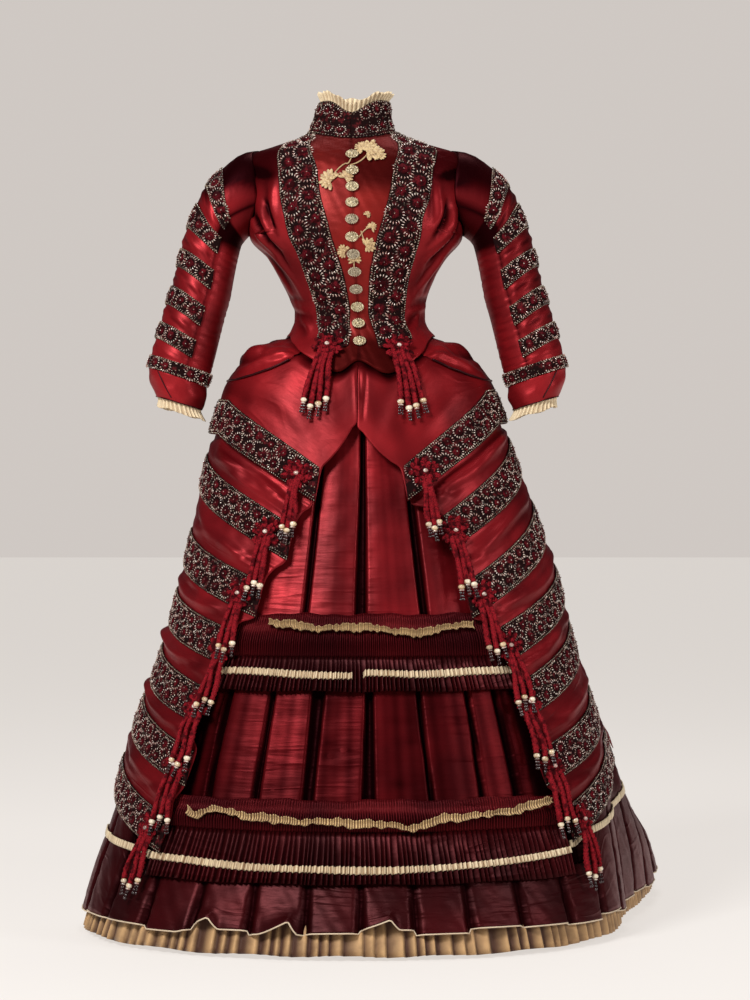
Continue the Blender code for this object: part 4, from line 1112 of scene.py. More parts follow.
@dataclass
class Strip:
    """A ribbon of surface that trim is sewn to, points along it by points across it.

    Attributes:
        points: positions of its face.
        outward: rough outward directions, which only settle the face's side.
    """

    points: Array
    outward: Array

    def __post_init__(self) -> None:
        """Work out the true normals and lengths."""
        along = unit(np.gradient(self.points, axis=0))
        across = unit(np.gradient(self.points, axis=1))
        normals = unit(np.cross(along, across))
        flip = np.where((normals * self.outward).sum(axis=-1) < 0, -1.0, 1.0)
        self.normals = normals * flip[..., None]
        middle = self.points[:, self.points.shape[1] // 2]
        self.travel = np.concatenate([[0.0], steps_along(middle, 0).cumsum()])
        self.length = float(self.travel[-1])
        self.width = float(steps_along(self.points, 1).sum(axis=1).mean())

    def faces_back(self) -> bool:
        """Whether a shell made of this strip's columns would look inwards."""
        across, along = self.points[0, 1] - self.points[0, 0], self.points[1, 0] - self.points[0, 0]
        return bool(np.dot(np.cross(across, along), self.normals[0, 0]) < 0)

    def at(self, s: Array, t: Array) -> tuple[Array, ...]:
        """Read the strip.

        Args:
            s: metres along it.
            t: shares across it.

        Returns:
            Positions, normals, directions along and directions across.
        """
        s, t = np.broadcast_arrays(np.asarray(s, float), np.asarray(t, float))
        n, m = self.points.shape[:2]
        i = np.interp(s, self.travel, np.arange(n))
        j = np.clip(t, 0, 1) * (m - 1)
        i0 = np.clip(i.astype(int), 0, n - 2)
        j0 = np.clip(j.astype(int), 0, m - 2)
        fi, fj = (i - i0)[..., None], (j - j0)[..., None]

        def read(grid: Array) -> Array:
            """Read a grid between its four nearest points.

            Args:
                grid: values along the strip and across it.

            Returns:
                A value for each place.
            """
            near = grid[i0, j0] * (1 - fj) + grid[i0, j0 + 1] * fj
            far = grid[i0 + 1, j0] * (1 - fj) + grid[i0 + 1, j0 + 1] * fj
            return near * (1 - fi) + far * fi

        normal = unit(read(self.normals))
        along = self.points[i0 + 1, j0] - self.points[i0, j0]
        along = unit(along - (along * normal).sum(axis=-1, keepdims=True) * normal)
        return read(self.points), normal, along, np.cross(normal, along)


@dataclass(frozen=True)
class TrimPattern:
    """How a beaded band is sewn.

    Attributes:
        rows: shares across the band where the rosettes' middles lie.
        pitch: metres between rosettes in a row.
        radius: of a rosette's outer ring.
        beads: beads in a ring.
        bead: half a ring bead's thickness, width and length.
        edge: half an edge bead's thickness, width and length.
        edge_pitch: metres between edge beads.
        thickness: of the ground.
    """

    rows: tuple[float, ...] = (0.29, 0.71)
    pitch: float = 0.0285
    radius: float = 0.0128
    beads: int = 16
    bead: tuple[float, float, float] = (0.0009, 0.0010, 0.0021)
    edge: tuple[float, float, float] = (0.0009, 0.0011, 0.0016)
    edge_pitch: float = 0.0042
    thickness: float = 0.0022


class BeadedTrim:
    """Sews dark bands with staggered rosettes of pale beads, and beaded edges."""

    def __init__(self, scatter: ScatterTree) -> None:
        """Keep the tree that sews the beads."""
        self.scatter = scatter
        self.seed = 11

    def sew(self, name: str, strip: Strip, pattern: TrimPattern, rests_on: tuple[str, ...],
            closed: bool = False) -> None:
        """Make a band's ground, rosette centres and beads.

        Args:
            name: the band's name.
            strip: the surface that it is sewn to.
            pattern: how it is sewn.
            rests_on: the piece or node under it; not used.
            closed: whether it goes all round.
        """
        self.seed += 1
        chance = np.random.default_rng(self.seed)
        ground = self.ground(name, strip, pattern, closed)
        beads, edges, centres = Dots(), Dots(), Dots()
        lift = pattern.thickness + 0.3 * pattern.bead[0]
        even = 2 * np.pi * np.arange(pattern.beads) / pattern.beads
        for row, share in enumerate(pattern.rows):
            count = max(int(strip.length / pattern.pitch), 1)
            spare = strip.length - count * pattern.pitch
            for k in range(count - row % 2):
                s = spare / 2 + pattern.pitch * (k + 0.5 + 0.5 * (row % 2)) + chance.normal(0, 0.0008)
                place, normal, along, across = strip.at(s, share + chance.normal(0, 0.012))
                radius = pattern.radius * chance.uniform(0.92, 1.06)
                spoke = spokes(even + chance.uniform(0, 1), along, across)
                ring = place + normal * lift + spoke * (radius - pattern.bead[2])
                kept = chance.uniform(size=pattern.beads) > 0.06
                beads.put(ring[kept], spoke[kept], normal, pattern.bead)
                beads.put(place + normal * (pattern.thickness + 0.0022), along, normal,
                          (pattern.bead[1] * 1.1,) * 3)
                centres.put(place + normal * pattern.thickness * 0.8, normal, along,
                            (radius * 0.55, radius * 0.55, 0.0022))
        for share, lean in ((0.035, 0.5), (0.965, -0.5)):
            s = np.arange(pattern.edge_pitch / 2, strip.length, pattern.edge_pitch)
            place, normal, along, across = strip.at(s, share + chance.normal(0, 0.006, len(s)))
            slant = unit(along * 0.6 + across * lean)
            edges.put(place + normal * pattern.thickness * 0.75, slant, normal, pattern.edge)
            place, normal, along, across = strip.at(s + pattern.edge_pitch / 2, share + 0.075 * np.sign(lean))
            kept = chance.uniform(size=len(s)) > 0.35
            edges.put((place + normal * lift)[kept], unit(along * 0.4 - across * lean)[kept], normal[kept],
                      tuple(0.85 * v for v in pattern.edge))
        count = int(strip.length * strip.width / 0.00013)
        s = chance.uniform(0, strip.length, count)
        place, normal, along, across = strip.at(s, chance.uniform(0.1, 0.9, count))
        turn = chance.uniform(0, np.pi, count)
        edges.put(place + normal * lift, spokes(turn, along, across), normal,
                  tuple(0.8 * v for v in pattern.edge))
        seed = self.seed
        sewn = (self.scatter.sew(name + "_beads", beads, Finishes.BEADS, 4, seed=seed),
                self.scatter.sew(name + "_edge_beads", edges, Finishes.EDGE_BEADS, 4, seed=seed + 50),
                self.scatter.sew(name + "_centres", centres, Finishes.CENTRE, 7, 3, 0.1, seed + 90))
        Workshop.declare(ground, strip.points.transpose(1, 0, 2), closed, Held.STRETCHED, rests_on, sewn)

    @staticmethod
    def ground(name: str, strip: Strip, pattern: TrimPattern, closed: bool) -> bpy.types.Object:
        """The band itself, a little crowned and thinner at its edges.

        Args:
            name: the band's name.
            strip: the surface that it is sewn to.
            pattern: how it is sewn.
            closed: whether it goes all round.

        Returns:
            The piece.
        """
        shares = np.linspace(-1, 1, strip.points.shape[1])
        crown = pattern.thickness * (1 - 0.75 * np.abs(shares) ** 6)
        outer = strip.points + strip.normals * crown[None, :, None]
        inner = strip.points + strip.normals * 0.0001
        if strip.faces_back():
            outer, inner = outer[:, ::-1], inner[:, ::-1]
        outer, inner = outer.transpose(1, 0, 2), inner.transpose(1, 0, 2)
        shade = np.zeros(outer.shape[:2])
        return Workshop.shell(name + "_ground", outer, inner, shade, closed, Finishes.GROUND, (2, 2), name)


def tube(path: Array, radius: Array, sides: int = 6, twist: float = 0.0,
         lobes: int = 0) -> tuple[Array, Array]:
    """A closed tube along a path.

    Args:
        path: points along it.
        radius: its radius at each.
        sides: points round it.
        twist: turns of its lobes along the whole path.
        lobes: lobes of a twisted cord; none for a round one.

    Returns:
        Points, and faces of four points.
    """
    path = np.asarray(path, float)
    radius = np.broadcast_to(np.asarray(radius, float), len(path))
    forward = unit(np.gradient(path, axis=0))
    side = np.zeros_like(forward)
    guide = np.array([0.31, -0.89, 0.33])
    for k, ahead in enumerate(forward):
        guide = guide - ahead * np.dot(guide, ahead)
        guide = guide / max(np.linalg.norm(guide), 1e-9)
        side[k] = guide
    other = np.cross(forward, side)
    turn = 2 * np.pi * np.arange(sides) / sides
    share = np.linspace(0, 1, len(path))[:, None]
    swell = 1 + 0.22 * min(lobes, 1) * np.cos(lobes * (turn[None] + 2 * np.pi * twist * share))
    rings = (path[:, None] + radius[:, None, None] * swell[..., None]
             * (np.cos(turn)[None, :, None] * side[:, None] + np.sin(turn)[None, :, None] * other[:, None]))
    count = len(path) * sides
    points = np.concatenate([rings.reshape(-1, 3), path[:1], path[-1:]])
    r, c = cells(len(path) - 1, sides)
    near, after = r * sides, (c + 1) % sides
    quads = np.stack([near + c, near + after, near + sides + after, near + sides + c], axis=-1)
    k = np.arange(sides)
    after = (k + 1) % sides
    head = np.stack([np.full(sides, count), after, k, k], axis=-1)
    last = (len(path) - 1) * sides
    foot = np.stack([np.full(sides, count + 1), last + k, last + after, last + after], axis=-1)
    return points, np.concatenate([quads, head, foot])


class Bundle:
    """Tubes gathered into one piece."""

    def __init__(self) -> None:
        """Start with none."""
        self.points: list[Array] = []
        self.quads: list[Array] = []
        self.count = 0

    def put(self, shape: tuple[Array, Array]) -> None:
        """Add a tube.

        Args:
            shape: its points and faces.
        """
        points, quads = shape
        self.points.append(points)
        self.quads.append(quads + self.count)
        self.count += len(points)

    def piece(self, name: str, finish: Finishes) -> bpy.types.Object:
        """Make one piece of them."""
        made = Workshop.mesh_object(name, np.concatenate(self.points), np.concatenate(self.quads), None, None)
        return Workshop.finish(made, finish, name)


def creases_of(sign: int, rows: tuple[tuple[float, ...], ...]) -> tuple[Crease, ...]:
    """Folds from rows of angle, height, angle, height, depth, width and bow; sign -1 mirrors the angles."""
    return tuple(Crease((sign * a, h), (sign * b, k), *shape) for a, h, b, k, *shape in rows)


def knife(phase: Array) -> Array:
    """Height of knife pleats, 0 to 1, a pleat for each whole step of the phase."""
    part = phase % 1.0
    return np.where(part < 0.8, part / 0.8, (1 - part) / 0.2) ** 0.8


def uneven(phase: Array, size: float, seed: float) -> Array:
    """The phase with pleats of slightly unequal width."""
    return phase + size * (np.sin(1.7 * phase + seed) + np.sin(0.63 * phase + 2 * seed))


@dataclass
class Bodice:
    """The close bodice: back, fronts, the vest between them and the beaded lapels over their seams."""

    basque: Curve = pair_curve(((-180, 0.964), (-110, 0.970), (-80, 0.970), (-60, 0.955), (-47, 0.939),
                                (-33, 0.922), (-18, 0.906), (-3, 0.925), (19, 0.904), (38, 0.924),
                                (52, 0.943), (67, 0.962), (80, 0.970), (110, 0.970), (180, 0.964)))
    lapel_table: Rows = (
        (1.304, 68.0, 52.0, 52.0, 78.0), (1.270, 62.0, 40.0, 40.0, 66.0), (1.235, 56.4, 31.0, 31.0, 57.0),
        (1.190, 51.6, 25.5, 24.5, 51.0), (1.144, 46.7, 19.0, 18.0, 44.6), (1.104, 45.2, 15.2, 13.1, 44.7),
        (1.057, 47.0, 12.0, 9.6, 46.5), (1.010, 48.5, 11.0, 9.0, 50.0), (0.968, 43.0, 11.6, 14.0, 49.0),
        (0.930, 40.0, 14.0, 17.0, 45.0),
    )
    top: float = 1.304
    bottom: float = 0.930
    neck_blend: float = 1.250
    basque_blend: float = 0.988
    lapel_foot: float = 0.958
    lapel_trim: TrimPattern = TrimPattern(rows=(0.28, 0.72), pitch=0.0395, radius=0.0186, beads=20,
                                          bead=(0.0011, 0.0012, 0.0030), edge=(0.0011, 0.0012, 0.0021),
                                          edge_pitch=0.0042, thickness=0.0024)
    folds: Rows = (
        (74.0, 1.170, 60.0, 1.085, -0.0050, 0.0055, 0.006), (68.0, 1.178, 56.0, 1.110, 0.0042, 0.0060, 0.004),
        (63.0, 1.188, 54.0, 1.130, -0.0038, 0.0050, 0.003), (58.0, 1.215, 55.0, 1.150, 0.0030, 0.0065, 0.0),
        (76.0, 1.118, 60.0, 1.040, 0.0028, 0.0080, 0.006), (84.0, 1.110, 70.0, 1.035, -0.0022, 0.0080, 0.004),
        (88.0, 1.020, 55.0, 1.006, 0.0018, 0.0050, 0.0), (88.0, 1.034, 60.0, 1.026, -0.0014, 0.0050, 0.0),
        (70.0, 1.000, 50.0, 0.972, 0.0022, 0.0060, 0.002), (80.0, 1.240, 62.0, 1.225, -0.0020, 0.0080, 0.0),
    )
    button_seats: Rows = ((1.258, 0.0005), (1.231, 0.0005), (1.204, 0.0005), (1.178, 0.0005),
                          (1.151, 0.0005), (1.123, -0.0006), (1.096, 0.0005), (1.069, 0.0005),
                          (1.042, 0.0009), (1.014, 0.0023), (0.985, 0.0023), (0.956, 0.0005))
    plain_button: int = 5
    pale_buttons: tuple[int, ...] = (5, 7, 8, 9)
    blossom_places: Rows = ((14.6, 1.265, 0.024, 0.5), (8.5, 1.270, 0.015, 2.2), (22.0, 1.258, 0.014, 0.0),
                            (-20.5, 1.216, 0.020, 2.6), (-8.0, 1.220, 0.014, 0.9), (8.3, 1.110, 0.014, 0.4),
                            (-9.5, 1.100, 0.012, 2.7), (-1.8, 1.087, 0.012, 1.6), (11.5, 1.138, 0.009, 1.2),
                            (8.3, 1.158, 0.006, 0.8))
    stems: Rows = ((14.0, 1.262, -4.5, 1.240), (-20.0, 1.217, -8.5, 1.243), (-8.5, 1.243, -3.5, 1.252),
                   (11.5, 1.138, 2.5, 1.122), (8.3, 1.110, 4.0, 1.132), (-2.0, 1.087, -3.0, 1.070))

    def __post_init__(self) -> None:
        """Read the lapels' edges into curves."""
        edges = ("height", "r_outer", "r_inner", "l_inner", "l_outer")
        self.lapels = table_curves(self.lapel_table, edges)

    def basque_line(self, angle: Array) -> Array:
        """Height of the basque's lower edge."""
        return self.basque((np.asarray(angle, float) + 180) % 360 - 180)

    def neck_line(self, angle: Array) -> Array:
        """Height of the neck's edge, lower at the centre front."""
        return self.top - 0.016 * np.maximum(cosine(angle), 0.0) ** 2

    def height(self, level: Array, angle: Array) -> Array:
        """A bodice row's height: level in the middle, bent to the neck and to the basque's edge.

        Args:
            level: the row's height before it is bent.
            angle: degrees from the centre front.

        Returns:
            The heights.
        """
        up = (level - self.neck_blend) / (self.top - self.neck_blend)
        low = (self.basque_blend - level) / (self.basque_blend - self.bottom)
        high = mix(self.neck_blend, self.neck_line(angle), up)
        foot = mix(self.basque_blend, self.basque_line(angle), low)
        return np.where(up > 0, high, np.where(low > 0, foot, level))

    @staticmethod
    def armhole(level: Array) -> Array:
        """How far the armhole's edge lies from the side seam."""
        part = (level - 1.197) / 0.063
        return 20.0 * np.sqrt(np.maximum(1 - part * part, 0.0))

    def lapel(self, side: Side, share: Array, level: Array) -> Array:
        """Angle a share of the way across a lapel band, from its inner edge."""
        inner, outer = (self.lapels["%s_%s" % (side.value, edge)](level) for edge in ("inner", "outer"))
        return side.sign * mix(inner, outer, share)

    @staticmethod
    def seam(level: Array) -> Array:
        """Half a seam's gap as an angle."""
        return np.degrees(0.65 * 0.0003 / FORM.curves["right"](level))

    def build(self, trim: BeadedTrim) -> None:
        """Make every piece of the bodice.

        Args:
            trim: sews the lapels' beads.
        """
        down, across = grid_of(66, 72)
        level = mix(self.top, self.bottom, down)
        start = 90 + self.armhole(level) + self.seam(level)
        angle = mix(start, 360 - start, across)
        back = Patch(angle, self.height(level, angle), 0.0).rippled(0.0004, 0.06, 2.0)
        # Painted shade towards the shoulders.
        back.shade += 0.3 * ramp(level, 1.20, 1.28)
        Workshop.cloth("bodice_back", back, Finishes.SATIN, Held.STRETCHED)
        for side in Side:
            self.front(side)
            self.lapel_band(side, trim)
        self.vest(trim.scatter)
        self.buttons(trim.scatter)

    def front(self, side: Side) -> None:
        """A front, from under the lapel to the side seam, folded at the armhole.

        Args:
            side: the wearer's.
        """
        down, across = grid_of(124, 52)
        level = mix(self.top, self.bottom, down)
        start = self.lapel(side, 0.4, level) + side.sign * self.seam(level)
        end = side.sign * (90 - self.armhole(level) - self.seam(level))
        angle = mix(start, end, across)
        free = ramp(across, 0.0, 0.30)
        patch = Patch(angle, self.height(level, angle), 0.0)
        free = free if side is Side.LEFT else free[:, ::-1]
        # The folds' troughs take painted shade.
        patch.folded(creases_of(side.sign, self.folds), 260.0, 1.5 * free)
        patch.rippled(0.00035, 0.045, 1.0 + side.sign)
        # Painted shade on the shoulders, towards the side seams above the waist, and round the waist.
        patch.shade += 0.86 * ramp(patch.height, 1.190, 1.232)
        patch.shade += 0.45 * ramp(np.abs(patch.angle), 74, 90) * ramp(patch.height, 0.99, 1.03)
        patch.shade += 0.35 * hump(patch.height, 0.995, 0.018)
        Workshop.cloth(side.of("bodice_front"), patch, Finishes.SATIN, Held.STRETCHED)

    def lapel_band(self, side: Side, trim: BeadedTrim) -> None:
        """A broad beaded band from the shoulder to the waist.

        Args:
            side: the wearer's.
            trim: sews its beads.
        """
        down, across = grid_of(90, 9)
        level = mix(self.top, self.lapel_foot, down)
        angle = self.lapel(side, across, level)
        points = FORM.on(angle, self.height(level, angle), np.full_like(angle, 0.0005))
        trim.sew(side.of("lapel_band"), Strip(points, FORM.normal(angle, level)), self.lapel_trim,
                 (side.of("bodice_front"), "vest_front"))

    def vest(self, scatter: ScatterTree) -> None:
        """The orange-red vest with sprays of cream flowers, painted shade at its top and buttons, darker at
        its foot.

        Args:
            scatter: sews the petals.
        """
        down, across = grid_of(90, 36)
        level = mix(self.top, self.bottom, down)
        right = self.lapel(Side.RIGHT, 0.4, level) + self.seam(level)
        left = self.lapel(Side.LEFT, 0.4, level) - self.seam(level)
        angle = mix(right, left, across)
        patch = Patch(angle, self.height(level, angle), 0.0).rippled(0.0004, 0.030, 5.0, 1.4)
        # Painted shade across the top.
        patch.shade += 0.80 * ramp(patch.height, 1.185, 1.222) * ramp(patch.angle, -14, 6)
        patch.shade += 0.55 * ramp(patch.height, 1.232, 1.25) * ramp(-patch.angle, -2, 14)
        # Painted shade along the button line.
        patch.shade += 0.5 * ramp(np.abs(patch.angle + 2.0), 2.0, 0.6)
        # Darker at the foot, through the same shade value.
        patch.shade += 0.85 * ramp(0.974 - patch.height, 0.0, 0.02)
        petals, hearts = self.blossoms()
        stems = Bundle()
        for number, (a, h, b, k) in enumerate(self.stems):
            t = np.linspace(0, 1, 14)
            bow = 0.004 * np.sin(np.pi * t) * (1 if number % 2 else -1)
            stems.put(tube(FORM.on(mix(a, b, t), mix(h, k, t) + bow, np.full(14, 0.0013)), 0.0011, 5))
        sewn = (scatter.sew("vest_petals", petals, Finishes.BLOSSOM, 8, 4, 0.15, 3),
                scatter.sew("vest_flower_hearts", hearts, Finishes.EMBROIDERY, 6, 4, 0.2, 4),
                stems.piece("vest_stems", Finishes.EMBROIDERY))
        Workshop.cloth("vest_front", patch, Finishes.VEST, Held.STRETCHED, with_pieces=sewn)

    def blossoms(self) -> tuple[Dots, Dots]:
        """Ruffled blossoms: fans of petals round a golden heart.

        Returns:
            The places of the petals and of the hearts.
        """
        chance = np.random.default_rng(21)
        petals, hearts = Dots(), Dots()
        for angle, height, size, lean in self.blossom_places:
            middle = FORM.on(angle, height, 0.0006)
            normal, side, up = FORM.axes(angle, height)
            for ring, count in ((1.0, 11), (0.62, 8), (0.3, 5)):
                spoke = spokes(lean + np.linspace(-2.1, 2.1, count) + chance.normal(0, 0.12, count), side, up)
                reach = size * ring * chance.uniform(0.45, 0.62, count)[:, None]
                lift = 0.0012 + 0.0012 * (1 - ring)
                petals.put(middle + spoke * reach + normal * lift, unit(spoke + normal * 0.12), normal,
                           (0.0009, size * 0.17, size * 0.30 * ring + 0.0015))
            spoke = spokes(chance.uniform(0, 2 * np.pi, 7), side, up)
            hearts.put(middle + spoke * size * 0.16 + normal * 0.0024, spoke, normal,
                       (0.0008, size * 0.06, size * 0.12))
        return petals, hearts

    def buttons(self, scatter: ScatterTree) -> None:
        """Oval filigree buttons: a plate, a beaded rim and a small dome with spokes, over dark dots that
        paint the gaps' shade.

        Args:
            scatter: places the parts of each.
        """
        gaps = Dots()
        for number, (height, seat) in enumerate(self.button_seats, start=1):
            angle = -2.6 if height > 1.008 else -2.0
            middle = FORM.point(angle, height)
            normal, side, up = FORM.axes(angle, height)
            dots = Dots()
            dots.put(middle + normal * (seat + 0.0016), side, normal, (0.0016, 0.0077, 0.0101))
            turn = 2 * np.pi * np.arange(20) / 20
            spoke = spokes(turn, side * 0.0093, up * 0.0070)
            dots.put(middle + spoke + normal * (seat + 0.0030), unit(spoke), normal, (0.0013, 0.0012, 0.0016))
            spoke = spoke[::2] if number == self.plain_button else spoke
            dots.put(middle + spoke * 0.62 + normal * (seat + 0.0034), unit(spoke), normal,
                     (0.0009, 0.0006, 0.0022))
            dots.put(middle + normal * (seat + 0.0038), side, normal, (0.0012, 0.0016, 0.0022))
            # Dark dots between the spokes paint the shade in the filigree's gaps.
            gap = spokes(turn[::4] + 0.5, side * 0.0050, up * 0.0037)
            gaps.put(middle + gap + normal * (seat + 0.0030), unit(gap), normal, (0.0006, 0.0011, 0.0017))
            look = Finishes.PEARL if number in self.pale_buttons else Finishes.BRASS
            scatter.sew("button_%02d" % number, dots, look, 10, 6, 0.05, number)
        scatter.sew("button_gaps", gaps, Finishes.TAILS, 8, 4, 0.1, 40)


BODICE = Bodice()


@dataclass(frozen=True)
class Collar:
    """The standing collar, open in front, and the pleated cream ruffle inside its top."""

    opening: float = -2.5
    pattern: TrimPattern = TrimPattern(rows=(0.24, 0.74), pitch=0.0215, radius=0.0105, beads=13,
                                       bead=(0.0009, 0.0010, 0.0022), edge=(0.0009, 0.0011, 0.0017),
                                       edge_pitch=0.0046, thickness=0.0018)

    def top(self, angle: Array) -> Array:
        """Height of the upper edge, with a dip at the opening."""
        away = (np.asarray(angle, float) - self.opening + 180) % 360 - 180
        return 1.356 - 0.022 * np.exp(-((away / 30.0) ** 2))

    def build(self, trim: BeadedTrim) -> None:
        """Make the collar and its ruffle.

        Args:
            trim: sews the collar's beads.
        """
        around, share = grid_of(180, 11)
        angle = mix(self.opening + 0.2, 360 + self.opening - 0.2, around)
        base = BODICE.neck_line(angle) + 0.0012
        height = mix(base, self.top(angle), share)
        points = FORM.on(angle, height, np.full_like(angle, -0.0014))
        trim.sew("collar", Strip(points, FORM.normal(angle, height)), self.pattern, ("bodice_back",))
        rise, around = ring_of(9, 459)
        angle = 360 * around
        phase = uneven(angle / 360 * 46, 0.05, 1.0)
        wave = np.sin(2 * np.pi * phase)
        height = self.top(angle) + mix(0.0135, -0.010, rise) + 0.0016 * np.sin(angle * 0.21) * (1 - rise)
        out = mix(0.0045, -0.0039, ramp(rise, 0.0, 0.55)) + (0.0024 * (1 - rise) + 0.0004) * wave
        # The ruffle's gathers take painted shade in their hollows.
        patch = Patch(angle, height, out, True, 0.55 * (0.5 - 0.5 * wave))
        Workshop.cloth("collar_ruffle", patch, Finishes.CREAM, Held.GATHERED, ("collar",), 0.0008)


@dataclass
class Sleeve:
    """A three-quarter sleeve: slanting beaded bands on its outer side, satin puffed between them."""

    side: Side
    centre: float = -0.0075
    sections: Curve = Curve(np.arange(11), np.array((
        (0.2180, 1.251, 0.1840, 1.131, 0.000, 0.063), (0.2500, 1.216, 0.1870, 1.126, 0.000, 0.060),
        (0.2740, 1.165, 0.1910, 1.120, -0.002, 0.055), (0.2870, 1.125, 0.1965, 1.098, -0.004, 0.052),
        (0.2945, 1.093, 0.2030, 1.065, -0.007, 0.051), (0.3020, 1.060, 0.2090, 1.031, -0.010, 0.051),
        (0.3120, 1.028, 0.2180, 0.998, -0.014, 0.051), (0.3210, 0.996, 0.2260, 0.965, -0.018, 0.050),
        (0.3300, 0.966, 0.2330, 0.935, -0.023, 0.049), (0.3380, 0.936, 0.2410, 0.904, -0.028, 0.048),
        (0.3430, 0.918, 0.2470, 0.886, -0.031, 0.047))))
    cuffs: Curve = Curve(np.arange(3), np.array((
        (0.3427, 0.9172, 0.2467, 0.8852, -0.0311, 0.047), (0.3390, 0.8930, 0.2475, 0.8660, -0.0340, 0.045),
        (0.3290, 0.8690, 0.2550, 0.8470, -0.0360, 0.039))))
    bands: Rows = ((0.48, 1.36, 0.75), (1.90, 2.78, 0.75), (3.64, 4.60, 0.65), (5.50, 6.46, 0.55),
                   (7.30, 8.22, 0.42))
    low_band: tuple[float, float] = (8.9, 9.98)
    seam_turn: float = 15.0
    cap: float = 0.0162
    # Heights over which the shoulder's painted shade sets in.
    shoulder: tuple[float, float] = (1.172, 1.218)
    thickness: float = 0.0013
    pipe: float = 0.0011
    pattern: TrimPattern = TrimPattern(rows=(0.5,), pitch=0.0262, radius=0.0140, beads=17,
                                       bead=(0.0010, 0.0011, 0.0026), edge=(0.0010, 0.0012, 0.0019),
                                       edge_pitch=0.0040, thickness=0.0022)
    low_pattern: TrimPattern = TrimPattern(rows=(0.5,), pitch=0.0225, radius=0.0120, beads=14,
                                           bead=(0.0010, 0.0011, 0.0024), edge=(0.0010, 0.0012, 0.0018),
                                           edge_pitch=0.0042, thickness=0.0022)

    def __post_init__(self) -> None:
        """Work out the rows down the arm."""
        self.sign = self.side.sign
        rows = [(0.08, 0.2, 0.0006)]
        for k, (upper, lower, drop) in enumerate(self.bands):
            rows += [(upper, drop, 0.0), ((upper + lower) / 2, drop, 0.0), (lower, drop, 0.0)]
            after = (self.bands + ((*self.low_band, 0.0),))[k + 1]
            rows.append(((lower + after[0]) / 2, (drop + after[2]) / 2, 0.0020 if k < 4 else 0.0011))
        rows += [(self.low_band[0], 0.0, 0.0), (self.low_band[1], 0.0, 0.0)]
        self.rows = Curve(np.arange(len(rows)), np.array(rows))
        self.drops = Curve([row[0] for row in rows], [row[1] for row in rows])

    def ring(self, section: Array, turn: Array, out: Array) -> Array:
        """Points round sleeve sections.

        Args:
            section: outer x, outer z, inner x, inner z, middle y and half the depth, in a last axis.
            turn: degrees, 0 at the front and 90 to the wearer's left.
            out: how far out of the section.

        Returns:
            World positions.
        """
        ox, oz, ix, iz, my, deep = np.moveaxis(section, -1, 0)
        sign = self.sign
        middle = np.stack([self.centre + sign * (ox + ix) / 2, my, (oz + iz) / 2 - HOLD_HEIGHT], axis=-1)
        across = np.stack([sign * (ox - ix) / 2, 0 * ox, (oz - iz) / 2], axis=-1)
        width = np.linalg.norm(across, axis=-1, keepdims=True)
        across = across / width * (width + np.asarray(out)[..., None])
        outward = (sign * sine(turn))[..., None]
        forward = cosine(turn) * (deep + out)
        return middle + across * outward + np.stack([0 * forward, -forward, 0 * forward], axis=-1)

    def facing(self, turn: Array) -> Array:
        """1 on the outer side, 0 at the seam and inside."""
        return np.maximum(self.sign * sine(turn + self.sign * self.seam_turn), 0.0)

    def armhole(self, turn: Array, out: float) -> Array:
        """Points on the armhole's edge.

        Args:
            turn: degrees round it.
            out: how far out of the form.

        Returns:
            World positions.
        """
        upward = self.sign * sine(turn)
        cap = ramp(upward, 0.1, 1.0)
        angle = self.sign * (90 - 19.35 * cosine(turn))
        return FORM.on(angle, 1.197 + 0.0612 * upward + self.cap * cap, out + 0.0014 * cap)

    def surface(self, place: Array, drop: Array, turn: Array, out: Array) -> Array:
        """Points on the sleeve at a place down the arm."""
        section = self.sections(place + drop * (0.5 - self.facing(turn)))
        return self.ring(section, turn, out)

    def build(self, trim: BeadedTrim) -> None:
        """Make the sleeve, its bands and its cuff.

        Args:
            trim: sews the bands' beads.
        """
        down, around = ring_of(108, 72)
        turn = 360 * around
        place, drop, puff = np.moveaxis(self.rows(down * (len(self.rows.keys) - 1)), -1, 0)
        facing = self.facing(turn)
        outside = ramp(facing, 0.02, 0.30)
        free = np.clip(puff / 0.002, 0, 1)
        fold = np.sin(place * 9.5 + 0.11 * turn * self.sign) + 0.6 * np.sin(place * 17 - 0.05 * turn + 2)
        out = outside * (puff * (1 + 0.25 * np.sin(0.09 * turn + 3 * place)) + 0.0009 * free * fold)
        crinkle = np.sin(place * 14 + 0.8 * np.sin(0.07 * turn) + 1.3 * np.sin(place * 2.1))
        crinkle += 0.7 * np.sin(place * 23 + 0.06 * turn)
        inside = (1 - outside) * ramp(place, 1.5, 3.0)
        out += inside * (0.0004 * crinkle * (0.5 + 0.5 * np.sin(0.05 * turn + 1.7 * place)) - 0.0004)
        seam = hump((turn * self.sign + self.seam_turn + 180) % 360 - 180, 0.0, 3.2)
        out -= 0.0016 * seam * ramp(place, 1.0, 2.0) * ramp(9.3 - place, 0.0, 0.6)
        # Painted shade: in the inner crinkles' hollows, along the underarm seam, near the armhole, in the
        # puffs' folds and on the inner side near the top.
        shade = 0.16 * inside * np.clip(-crinkle, 0, 1) + 0.5 * seam + 0.25 * ramp(0.4 - place, 0.0, 0.4)
        shade += 0.50 * outside * free * np.clip(-fold, 0, 1)
        shade += 0.5 * (1 - outside) * ramp(2.8 - place, 0.0, 1.6)
        body = self.surface(place, drop, turn, out)
